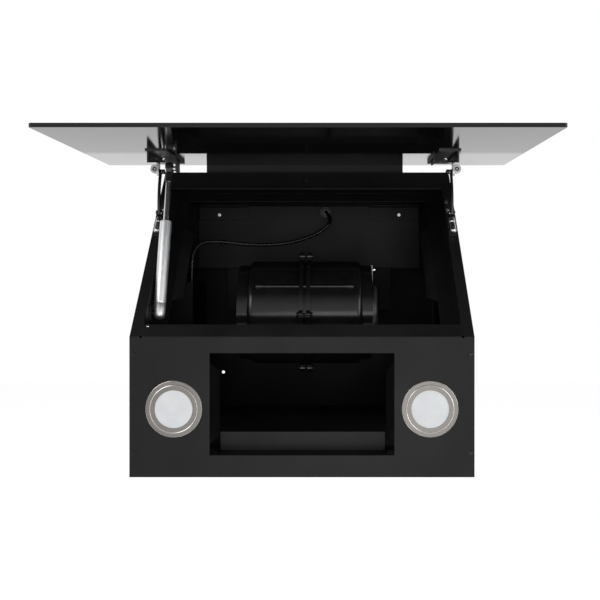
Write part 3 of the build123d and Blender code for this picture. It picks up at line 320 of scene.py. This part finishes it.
def bracket_steel():
    """Black bracket plate whose ear, below the plate and outside the arm, is bare steel."""
    look = Look("bracket_steel")
    ear_top = NODE_BOX["glass_bracket_right"][1].z - EAR_DROP
    below = look.spread(look.axis("Z"), 1.0, 0.0, ear_top - EAR_BLEND, ear_top)
    black = look.tint(look.noise(30.0, 4.0), (0.012, 0.012, 0.013), (0.024, 0.024, 0.025))
    steel = look.tint(look.noise(70.0, 4.0, (1, 12, 1)), (0.36, 0.36, 0.36), (0.5, 0.5, 0.495))
    outer = look.add("ShaderNodeMath", operation="ABSOLUTE")
    look.join(look.axis("X"), outer.inputs[0])
    outside = look.spread(outer.outputs[0], 0.0, 1.0, *EAR_INNER)
    ear = look.add("ShaderNodeMath", operation="MULTIPLY")
    look.join(below, ear.inputs[0])
    look.join(outside, ear.inputs[1])
    look.colour(look.mixed(ear.outputs[0], black, steel))
    look.join(ear.outputs[0], look.shader.inputs["Metallic"])
    look.rough(look.noise(120.0, 4.0), 0.26, 0.42)
    look.bump(look.noise(900.0, 2.0), 2e-5, 0.4)
    return look.material


def cable_skin():
    """Black sheath with a waxy gloss and scuffs along it."""
    look = Look("cable_skin", Specular_IOR_Level=0.4)
    look.colour(look.tint(look.noise(90.0, 4.0), (0.003, 0.003, 0.0034), (0.008, 0.008, 0.009)))
    look.rough(look.noise(130.0, 4.0), 0.16, 0.4)
    look.bump(look.noise(420.0, 3.0), 1.2e-4, 0.6)
    return look.material


def box_of(node):
    low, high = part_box(node)
    return Vector(low), Vector(high)


NODE_BOX = {name: box_of(name) for name in NODES}


def middle_of(node):
    low, high = NODE_BOX[node]
    return (low + high) / 2


LENS_CENTRE = {side: middle_of(f"light_lens_{side}") for side, _ in SIDES}

looks = {
    "casing": painted("powder_coat", (0.0045, 0.0045, 0.0047), (0.007, 0.007, 0.0072), (0.38, 0.5), 0.17),
    "inner_sheet": painted("inner_coat", (0.0022, 0.0022, 0.0024), (0.004, 0.004, 0.0042), (0.36, 0.48), 0.14),
    "zinc_steel": zinc("zinc_sheet", (0.42, 0.43, 0.44), (0.66, 0.67, 0.68), (0.16, 0.34)),
    "damper": moulded("damper_plastic", (0.045, 0.045, 0.05), (0.075, 0.075, 0.08), (0.4, 0.55)),
    "lamp_can": brushed("lamp_can_metal", (0.5, 0.5, 0.5), (0.7, 0.7, 0.7), (0.3, 0.45), (1, 14, 1)),
    "blower_shell": moulded("blower_plastic", (0.0045, 0.0045, 0.0048), (0.0075, 0.0075, 0.008), (0.13, 0.21),
                            0.33),
    "impeller": moulded("impeller_plastic", (0.012, 0.012, 0.013), (0.022, 0.022, 0.024), (0.35, 0.5)),
    "motor": motor_steel(),
    "screws": brushed("bright_steel", (0.5, 0.5, 0.49), (0.72, 0.72, 0.7), (0.14, 0.26), (1, 1, 1), 700.0),
    "control_case": moulded("control_plastic", (0.005, 0.005, 0.0055), (0.009, 0.009, 0.0095), (0.35, 0.48)),
    "gland": moulded("gland_nylon", (0.012, 0.012, 0.013), (0.024, 0.024, 0.026), (0.3, 0.42)),
    "cable": cable_skin(),
    "hinge_plate": painted("hinge_coat", (0.010, 0.010, 0.0105), (0.018, 0.018, 0.019), (0.22, 0.36), 0.4),
    "hinge_arm": painted("arm_coat", (0.009, 0.009, 0.0095), (0.016, 0.016, 0.017), (0.2, 0.34), 0.5),
    "flap_glass": flap_glass(),
    "strut_tube": brushed("tube_metal", (0.72, 0.73, 0.74), (0.82, 0.83, 0.84), (0.42, 0.56), (9, 1, 1), 110.0),
    "strut_rod": brushed("rod_chrome", (0.62, 0.62, 0.63), (0.76, 0.76, 0.77), (0.1, 0.2), (1, 1, 9), 160.0),
    "strut_end": moulded("strut_plastic", (0.012, 0.011, 0.011), (0.03, 0.028, 0.027), (0.28, 0.42)),
    "catch": moulded("catch_nylon", (0.01, 0.01, 0.011), (0.018, 0.018, 0.02), (0.3, 0.45)),
}
# Near-black coat for the ducts, the back panel and the control box, darker than the casing paint: painted shade
# deep inside the hood
painted_shade_inside = painted("duct_painted_shade", (0.002, 0.002, 0.002), (0.0035, 0.0035, 0.0035), (0.45, 0.6), 0.15)
black_steel = painted("black_screw", (0.005, 0.005, 0.005), (0.009, 0.009, 0.009), (0.14, 0.24), 0.25, 0.0004)
bracket = bracket_steel()
own_looks = {
    "rear_duct": painted_shade_inside,
    "control_box": painted_shade_inside,
    "control_cover": painted_shade_inside,
    "back_panel": painted_shade_inside,
    # The floor pan's coat is lighter than the casing paint: painted light where light falls in through the
    # intake
    "floor_pan": painted("pan_painted_light", (0.018, 0.018, 0.0185), (0.03, 0.03, 0.031), (0.4, 0.55), 0.3),
    "light_bezel_left": spun("spun_ring_left", LENS_CENTRE["left"]),
    "light_bezel_right": spun("spun_ring_right", LENS_CENTRE["right"]),
    "light_lens_left": frosted("frosted_left", LENS_CENTRE["left"]),
    "light_lens_right": frosted("frosted_right", LENS_CENTRE["right"]),
    "front_panel_screws": black_steel,
    # The slanted frame's coat is lighter than the casing paint: painted light on the frame, which faces up
    # towards the light
    "slope_frame": painted("frame_painted_light", (0.0075, 0.0075, 0.0077), (0.0115, 0.0115, 0.0118), (0.36, 0.48),
                           0.22),
    "volute_bolts": painted("seam_bolt", (0.004, 0.004, 0.004), (0.007, 0.007, 0.007), (0.3, 0.42), 0.2,
                            0.0004),
    "strut_foot_bracket": black_steel,
    "blower_screws": black_steel,
    "motor_spider": brushed("spider_steel", (0.06, 0.06, 0.062), (0.13, 0.13, 0.13), (0.3, 0.45), (1, 1, 1),
                            300.0),
    "glass_bracket_left": bracket,
    "glass_bracket_right": bracket,
}
silver = brushed("cast_silver", (0.42, 0.43, 0.44), (0.68, 0.69, 0.7), (0.24, 0.4), (1, 1, 1), 240.0, 4e-5)


def dress(obj, material):
    obj.data.materials.clear()
    obj.data.materials.append(material)


for entry in frame["record"]["subparts"]:
    name = entry["node"]
    dress(NODES[name], own_looks.get(name) or looks[entry["material_slot"]])


# Pieces

SHARP_ANGLE = 35


def mesh_piece(name, body, material, build):
    """A new piece whose mesh the build function fills in."""
    mesh = bpy.data.meshes.new(name)
    bm = bmesh.new()
    build(bm)
    bmesh.ops.recalc_face_normals(bm, faces=bm.faces)
    bm.to_mesh(mesh)
    bm.free()
    obj = bpy.data.objects.new(name, mesh)
    bpy.context.scene.collection.objects.link(obj)
    mesh.polygons.foreach_set("use_smooth", [True] * len(mesh.polygons))
    mesh.set_sharp_from_angle(angle=math.radians(SHARP_ANGLE))
    mesh.materials.append(material)
    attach(obj, body)
    return obj


def frame_of(direction):
    """Two directions square to the given one."""
    direction = direction.normalized()
    side = direction.cross(Vector((1, 0, 0)) if abs(direction.x) < 0.9 else Vector((0, 0, 1))).normalized()
    return side, direction.cross(side)


def turns(count, start=0.0):
    """Equal angles round a circle, the first at the given share of a whole turn."""
    return [math.tau * (number / count + start) for number in range(count)]


def ring(bm, centre, side, up, radius, count):
    return [bm.verts.new(centre + side * radius * math.cos(turn) + up * radius * math.sin(turn))
            for turn in turns(count)]


def lathe(bm, origin, direction, profile, count, closed=False):
    """A turned solid: the profile is (distance along, radius) from one end to the other."""
    direction = direction.normalized()
    side, up = frame_of(direction)
    rings = []
    for along, radius in profile:
        centre = origin + direction * along
        rings.append(ring(bm, centre, side, up, radius, count) if radius else [bm.verts.new(centre)])
    for first, second in zip(rings, rings[1:]):
        skin(bm, first, second)
    if closed:
        skin(bm, rings[-1], rings[0])
        return
    for end in (rings[0], rings[-1]):
        if len(end) > 1:
            bm.faces.new(end)


def skin(bm, first, second):
    """The faces between two rings, either of which may be a single point."""
    count = max(len(first), len(second))
    for number in range(count):
        corners = [first[number % len(first)], first[(number + 1) % len(first)],
                   second[(number + 1) % len(second)], second[number % len(second)]]
        distinct = list(dict.fromkeys(corners))
        if len(distinct) > 2:
            bm.faces.new(distinct)


def dome(radius, height):
    """The profile of a low domed head that sinks a quarter of its height into a surface."""
    steps = 6
    points = [(-height / 4, radius)]
    for number in range(steps):
        turn = math.pi / 2 * number / steps
        points.append((height * math.sin(turn), radius * math.cos(turn)))
    return points + [(height, 0)]


def rivets(name, body, places, direction, size, material):
    """Domed heads, their size given as (radius, height)."""
    def build(bm):
        for place in places:
            lathe(bm, place, direction, dome(*size), 20)
    mesh_piece(name, body, material, build)


def on_slope(x, s, out=0.0):
    """A point s mm up the slope from the front face and out mm proud of it."""
    return at(x, s * COS - out * SIN, FACE_HEIGHT + s * SIN + out * COS)


# Slow-close cylinders on the hinge base plates, in place of the plain blocks, each with two straps over it.
# Profiles are in metres. A strap is given by its two ends up the slope and its width, in mm.
CLOSER_X = 209.3
CLOSER_START = 184.4
CLOSER_OUT = 6.2
CLOSER_PROFILE = (
    (0, 0), (0, 0.0022), (0.0012, 0.0036), (0.003, 0.0043), (0.0165, 0.0043), (0.0172, 0.0036),
    (0.0186, 0.0036), (0.0192, 0.0043), (0.0265, 0.0043), (0.028, 0.0034), (0.0292, 0.0034), (0.0292, 0),
)
STRAPS = ((205.0, 211.0, 9.4), (188.0, 190.6, 9.0))
STRAP_SEAT = 2.0
STRAP_WALL = 0.9
STRAP_SINK = 0.6
STRAP_STEPS = 14


def strap(bm, x, s0, s1, width):
    """A strap over the cylinder, from the base plate up one side and down the other."""
    ends = []
    for s in (s0, s1):
        rows = []
        for radius in (width / 2, width / 2 - STRAP_WALL):
            line = [on_slope(x - radius, s, STRAP_SEAT)]
            for number in range(STRAP_STEPS + 1):
                turn = math.pi * number / STRAP_STEPS
                line.append(on_slope(x - radius * math.cos(turn), s,
                                     CLOSER_OUT + (radius - STRAP_SINK) * math.sin(turn)))
            line.append(on_slope(x + radius, s, STRAP_SEAT))
            rows.append([bm.verts.new(point) for point in line])
        ends.append(rows)
    (low_out, low_in), (high_out, high_in) = ends
    for first, second in ((low_out, high_out), (high_in, low_in), (low_in, low_out), (high_out, high_in)):
        for a, b, c, d in zip(first, first[1:], second[1:], second):
            bm.faces.new((a, b, c, d))
    for number in (0, -1):
        bm.faces.new((low_out[number], high_out[number], high_in[number], low_in[number]))


def closer(name, side):
    def build(bm):
        x = side * CLOSER_X
        lathe(bm, on_slope(x, CLOSER_START, CLOSER_OUT), SLOPE_UP, CLOSER_PROFILE, 28)
        for s0, s1, width in STRAPS:
            strap(bm, x, s0, s1, width)
    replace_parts(mesh_piece(f"closer_{name}", "hood", silver, build), f"hinge_stop_{name}")


for name, side in SIDES:
    closer(name, side)

# Round nuts on the inner ends of the upper hinge pins, and a cap with a ring in front of each outer end
PIN_NUT_X = 0.2094
PIN_NUT_PROFILE = (
    (0, 0), (0, 0.0031), (0.0007, 0.0035), (0.0042, 0.0035), (0.0048, 0.0029), (0.0048, 0.0017),
    (0.0056, 0.0013), (0.0056, 0),
)
PIN_CAP_X = 0.2196
PIN_CAP_RAISE = 0.0036
PIN_CAP_BACK = 0.0045
PIN_CAP_PROFILE = (
    (0, 0), (0, 0.0054), (0.0007, 0.0062), (0.0082, 0.0064), (0.0092, 0.0058), (0.0092, 0.003),
    (0.0086, 0.0028), (0.0086, 0),
)
PIN_RING_BACK = -0.0037
PIN_RING_PROFILE = (
    (0, 0.0013), (0, 0.0031), (0.0008, 0.0033), (0.0013, 0.0029), (0.0013, 0.0018), (0.0008, 0.0013),
)
pins = middle_of("hinge_upper_pins")


def pin_nuts(bm):
    for _, side in SIDES:
        lathe(bm, Vector((side * PIN_NUT_X, pins.y, pins.z)), Vector((-side, 0, 0)), PIN_NUT_PROFILE, 24)


def cap_place(side, back):
    return Vector((side * PIN_CAP_X, pins.y + back, pins.z + PIN_CAP_RAISE))


def pin_caps(bm):
    for _, side in SIDES:
        lathe(bm, cap_place(side, PIN_CAP_BACK), FORWARD, PIN_CAP_PROFILE, 32)


def pin_rings(bm):
    for _, side in SIDES:
        lathe(bm, cap_place(side, PIN_RING_BACK), FORWARD, PIN_RING_PROFILE, 28, closed=True)


mesh_piece("pin_nuts", "glass_flap", looks["hinge_arm"], pin_nuts)
mesh_piece("pin_caps", "glass_flap", silver, pin_caps)
mesh_piece("pin_rings", "glass_flap", looks["hinge_arm"], pin_rings)

# Domed bolts under the flap's brackets
BRACKET_BOLT = (197.3, 115.0, 417.4)
BRACKET_BOLT_SIZE = (0.0031, 0.0022)
bolt_x, bolt_back, bolt_height = BRACKET_BOLT
bracket_bolts = [at(side * bolt_x, bolt_back, bolt_height) for _, side in SIDES]
rivets("bracket_bolts", "glass_flap", bracket_bolts, -UP, BRACKET_BOLT_SIZE, looks["screws"])

# The strut's rounded lower end, over its stud
STRUT_X = -0.192
STRUT_END_PROFILE = (
    (-0.0088, 0), (-0.0086, 0.0028), (-0.0076, 0.0052), (-0.0058, 0.0068), (-0.0032, 0.0076), (0, 0.0079),
    (0.0118, 0.0079), (0.0124, 0.0075), (0.0132, 0.0075), (0.0138, 0.0078), (0.0142, 0.0078), (0.0142, 0),
)


def strut_end(bm):
    foot, head = (Vector((STRUT_X, *middle_of(node).yz)) for node in ("strut_foot_bracket", "strut_head_stud"))
    lathe(bm, foot, head - foot, STRUT_END_PROFILE, 40)


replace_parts(mesh_piece("strut_end_cap", "strut_cylinder", looks["strut_tube"], strut_end),
            "strut_foot_fitting")

# A pressed ring round the catch
CATCH_INSET = 21.5
CATCH_SINK = 0.1
CATCH_RING_PROFILE = ((0, 0.0078), (0.0005, 0.0081), (0.0008, 0.0087), (0.0005, 0.0093), (0, 0.0096))


def catch_ring(bm):
    seat = on_slope(0, SLOPE_LENGTH - CATCH_INSET, -CATCH_SINK)
    lathe(bm, seat, SLOPE_OUT, CATCH_RING_PROFILE, 44, closed=True)


mesh_piece("catch_ring", "hood", looks["casing"], catch_ring)

# Bright beads round the lamps' rings: radius, distance in front of the face and thickness, in metres
LAMP_BEADS = ((0.0352, 0.0012, 0.00024), (0.0297, 0.0027, 0.00046))


def lamp_beads(bm):
    for centre in LENS_CENTRE.values():
        for radius, proud, size in LAMP_BEADS:
            profile = [(size * math.sin(turn), radius + size * math.cos(turn)) for turn in turns(8)]
            lathe(bm, Vector((centre.x, FRONT_Y - proud, centre.z)), FORWARD, profile, 72, closed=True)


mesh_piece("lamp_beads", "hood", looks["screws"], lamp_beads)

# Rivets: one on the rim, some round the outlet collar and down the casing's rear corners
RIM_RIVET = (-196.5, 17.8)
RIM_RIVET_SIZE = (0.0019, 0.0008)
COLLAR_RIVET_RADIUS = 0.0772
COLLAR_RIVET_SEAT = 0.0015
COLLAR_RIVET_SIZE = (0.0019, 0.0009)
SIDE_RIVET_X = 217.0
SIDE_RIVET_BACK = 396.0
SIDE_RIVET_HEIGHTS = (24.0, 108.0, 192.0, 276.0, 360.0)
SIDE_RIVET_SIZE = (0.0021, 0.0009)
rivets("rim_rivet", "hood", [on_slope(*RIM_RIVET)], SLOPE_OUT, RIM_RIVET_SIZE, looks["screws"])
collar = middle_of("outlet_collar")
collar_seat = NODE_BOX["outlet_collar"][0].z + COLLAR_RIVET_SEAT
collar_rivets = [
    Vector((collar.x + COLLAR_RIVET_RADIUS * math.cos(turn), collar.y + COLLAR_RIVET_RADIUS * math.sin(turn),
            collar_seat))
    for turn in turns(8, 1 / 16)
]
rivets("collar_rivets", "hood", collar_rivets, UP, COLLAR_RIVET_SIZE, looks["screws"])
for name, side in SIDES:
    places = [at(side * SIDE_RIVET_X, SIDE_RIVET_BACK, height) for height in SIDE_RIVET_HEIGHTS]
    outwards = Vector((side, 0, 0))
    rivets(f"side_rivets_{name}", "hood", places, outwards, SIDE_RIVET_SIZE, looks["casing"])

# Nuts on the motor's carrier
SPIDER_NUT_RADIUS = 0.062
SPIDER_NUT_SIZE = (0.0042, 0.0062)
shaft = middle_of("motor_shaft")
spider_nuts = [
    Vector((NODE_BOX["motor_spider"][1].x, shaft.y + SPIDER_NUT_RADIUS * math.cos(turn),
            shaft.z + SPIDER_NUT_RADIUS * math.sin(turn)))
    for turn in turns(3, 1 / 4)
]
rivets("spider_nuts", "hood", spider_nuts, Vector((1, 0, 0)), SPIDER_NUT_SIZE, looks["screws"])

# Hexagon nut and ring where the lead comes through the lining
GLAND_NUT_LENGTH = 0.0044
GLAND_NUT_PROFILE = (
    (0, 0.0072), (0, 0.0092), (0.0008, 0.0098), (0.0036, 0.0098), (GLAND_NUT_LENGTH, 0.0092),
    (GLAND_NUT_LENGTH, 0.0072),
)
GLAND_RING_PROFILE = ((0, 0.0071), (0, 0.0086), (0.001, 0.0086), (0.001, 0.0071))


def gland_nut(bm):
    seat = middle_of("cable_gland")
    seat.y = NODE_BOX["cable_gland"][1].y
    lathe(bm, seat, FORWARD, GLAND_NUT_PROFILE, 6, closed=True)
    lathe(bm, seat + FORWARD * GLAND_NUT_LENGTH, FORWARD, GLAND_RING_PROFILE, 40, closed=True)


mesh_piece("gland_nut", "hood", looks["gland"], gland_nut)

# The lead from the gland to the control box
CABLE_WIDTH = 0.005
LINE_STEPS = 12
FINE_STEPS = 72
CABLE_ROUTE = (
    (0.028, -0.061, 0.1403), (0.028, -0.081, 0.1403), (0.038, -0.094, 0.1243), (0.026, -0.106, 0.1073),
    (-0.004, -0.119, 0.0923), (-0.044, -0.134, 0.0823), (-0.092, -0.146, 0.0813), (-0.138, -0.154, 0.0868),
    (-0.166, -0.158, 0.0853), (-0.179, -0.159, 0.0703), (-0.181, -0.156, 0.0463), (-0.181, -0.156, 0.0233),
)


def route_curve(name, bevel, resolution):
    curve = bpy.data.curves.new(name, "CURVE")
    curve.dimensions = "3D"
    spline = curve.splines.new("NURBS")
    spline.points.add(len(CABLE_ROUTE) - 1)
    for point, place in zip(spline.points, CABLE_ROUTE):
        point.co = (*place, 1)
    spline.order_u = 3
    spline.use_endpoint_u = True
    spline.resolution_u = resolution
    curve.bevel_depth = bevel
    curve.bevel_resolution = 6
    curve.use_fill_caps = bevel > 0
    return bpy.data.objects.new(name, curve)


def centre_line(resolution):
    """Points along the cable's own smooth line, so many to each of its spans."""
    plain = route_curve("cable_line", 0.0, resolution)
    bpy.context.scene.collection.objects.link(plain)
    bpy.context.view_layer.update()
    mesh = bpy.data.meshes.new_from_object(plain)
    points = [vert.co.copy() for vert in mesh.vertices]
    bpy.data.objects.remove(plain)
    bpy.data.meshes.remove(mesh)
    return points


def stretch_of(points, start, end):
    """The points between two shares of the line's length."""
    lengths = [0.0]
    for a, b in zip(points, points[1:]):
        lengths.append(lengths[-1] + (b - a).length)
    whole = lengths[-1]
    return [point for point, length in zip(points, lengths) if start <= length / whole <= end]


def tube_along(bm, points, radii, count):
    """A tube that follows the points with one radius for each, open turns kept from twisting."""
    rings = []
    side = None
    for number, (point, radius) in enumerate(zip(points, radii)):
        ahead = points[min(number + 1, len(points) - 1)] - points[max(number - 1, 0)]
        ahead.normalize()
        if side is None:
            side = frame_of(ahead)[0]
        side = (side - ahead * side.dot(ahead)).normalized()
        up = ahead.cross(side)
        rings.append(ring(bm, point, side, up, radius, count))
    for first, second in zip(rings, rings[1:]):
        skin(bm, first, second)
    bm.faces.new(rings[0])
    bm.faces.new(rings[-1])


cable = route_curve("lead", CABLE_WIDTH / 2, LINE_STEPS)
bpy.context.scene.collection.objects.link(cable)
cable.data.materials.append(looks["cable"])
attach(cable, "hood")
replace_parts(cable, "cable")


# Sleeves and conduit on the lead: shares of its length where they start and end, and radii in metres
SLEEVE_RADIUS = 0.0032
SLEEVE_TAPER = 0.0004
CONDUIT_RADIUS = 0.0033
CONDUIT_GROOVE = 0.0007
CONDUIT_PITCH = 0.0034


def on_lead(name, points, radii, count):
    return mesh_piece(name, "hood", looks["cable"], lambda bm: tube_along(bm, points, radii, count))


def sleeve(name, start, end):
    """A shrunk sleeve over part of the lead, drawn in at both ends."""
    points = stretch_of(centre_line(LINE_STEPS), start, end)
    radii = [SLEEVE_RADIUS] * len(points)
    radii[0] = radii[-1] = SLEEVE_RADIUS - SLEEVE_TAPER
    return on_lead(name, points, radii, 20)


def conduit(name, start, end):
    """A ribbed conduit over part of the lead."""
    points = stretch_of(centre_line(FINE_STEPS), start, end)
    run = 0.0
    radii = []
    for before, point in zip(points[:1] + points, points):
        run += (point - before).length
        radii.append(CONDUIT_RADIUS - CONDUIT_GROOVE * (0.5 - 0.5 * math.cos(math.tau * run / CONDUIT_PITCH)))
    return on_lead(name, points, radii, 16)


sleeves = [
    sleeve("lead_sleeve_top", 0.09, 0.16),
    conduit("lead_conduit", 0.15, 0.9),
    sleeve("lead_sleeve_end", 0.89, 0.95),
]


# Studio: world, lamps, floor and camera

def build_world():
    """White round the horizon, where the backdrop would be, and dim overhead."""
    world = bpy.data.worlds.new("studio")
    bpy.context.scene.world = world
    world.use_nodes = True
    tree = world.node_tree
    tree.nodes.clear()
    rays = tree.nodes.new("ShaderNodeLightPath")
    split = tree.nodes.new("ShaderNodeSeparateXYZ")
    tree.links.new(tree.nodes.new("ShaderNodeTexCoord").outputs["Generated"], split.inputs[0])

    def fading(low, high):
        fade = tree.nodes.new("ShaderNodeMapRange")
        fade.interpolation_type = "SMOOTHSTEP"
        for socket, number in zip(("From Min", "From Max", "To Min", "To Max"), (*WORLD_FADE, low, high)):
            fade.inputs[socket].default_value = number
        tree.links.new(split.outputs["Z"], fade.inputs["Value"])
        return fade.outputs["Result"]

    def shade(strength):
        node = tree.nodes.new("ShaderNodeBackground")
        node.inputs["Color"].default_value = (1, 1, 1, 1)
        if isinstance(strength, float):
            node.inputs["Strength"].default_value = strength
        else:
            tree.links.new(strength, node.inputs["Strength"])
        return node.outputs[0]

    def mix(share, first, second):
        node = tree.nodes.new("ShaderNodeMixShader")
        for source, socket in ((share, 0), (first, 1), (second, 2)):
            tree.links.new(source, node.inputs[socket])
        return node.outputs[0]

    mirrored = tree.nodes.new("ShaderNodeMath")
    mirrored.operation = "MAXIMUM"
    tree.links.new(rays.outputs["Is Glossy Ray"], mirrored.inputs[0])
    tree.links.new(rays.outputs["Is Transmission Ray"], mirrored.inputs[1])
    unseen = mix(mirrored.outputs[0], shade(fading(*WORLD_SOFT)), shade(fading(*WORLD_SEEN)))
    whole = mix(rays.outputs["Is Camera Ray"], unseen, shade(1.0))
    tree.links.new(whole, tree.nodes.new("ShaderNodeOutputWorld").inputs["Surface"])


def build_lamps():
    for name, place, size, power in LAMPS:
        data = bpy.data.lights.new(name, "AREA")
        data.shape = "DISK"
        data.size = size
        data.energy = power
        lamp = bpy.data.objects.new(name, data)
        lamp.location = place
        lamp.rotation_euler = (LAMP_AIM - Vector(place)).to_track_quat("-Z", "Y").to_euler()
        bpy.context.scene.collection.objects.link(lamp)


def build_floor():
    """A pale floor that looks as white as the backdrop, apart from the object's shadow."""
    mesh = bpy.data.meshes.new("floor")
    bm = bmesh.new()
    bmesh.ops.create_grid(bm, x_segments=1, y_segments=1, size=FLOOR_SIZE / 2)
    bm.to_mesh(mesh)
    bm.free()
    floor = bpy.data.objects.new("floor", mesh)
    floor.location = (0, 0, FLOOR_Z)
    bpy.context.scene.collection.objects.link(floor)
    material = bpy.data.materials.new("floor_paint")
    material.use_nodes = True
    tree = material.node_tree
    shader = tree.nodes["Principled BSDF"]
    shader.inputs["Base Color"].default_value = (FLOOR_GREY, FLOOR_GREY, FLOOR_GREY, 1)
    shader.inputs["Roughness"].default_value = FLOOR_ROUGH
    shader.inputs["Emission Color"].default_value = (1, 1, 1, 1)
    rays = tree.nodes.new("ShaderNodeLightPath")
    seen = tree.nodes.new("ShaderNodeMath")
    seen.operation = "MAXIMUM"
    tree.links.new(rays.outputs["Is Camera Ray"], seen.inputs[0])
    tree.links.new(rays.outputs["Is Glossy Ray"], seen.inputs[1])
    lift = tree.nodes.new("ShaderNodeMath")
    lift.operation = "MULTIPLY"
    lift.inputs[1].default_value = FLOOR_LIFT
    tree.links.new(seen.outputs[0], lift.inputs[0])
    tree.links.new(lift.outputs[0], shader.inputs["Emission Strength"])
    mesh.materials.append(material)


def build_camera():
    data = bpy.data.cameras.new("camera")
    data.lens = CAMERA_LENS
    data.sensor_width = CAMERA_SENSOR
    data.shift_x, data.shift_y = CAMERA_SHIFT
    camera = bpy.data.objects.new("camera", data)
    camera.location = CAMERA_PLACE
    camera.rotation_euler = (math.radians(90), 0, 0)
    bpy.context.scene.collection.objects.link(camera)
    bpy.context.scene.camera = camera


build_world()
build_lamps()
build_floor()
build_camera()
bpy.context.scene.view_settings.view_transform = "Standard"

bpy.context.view_layer.update()
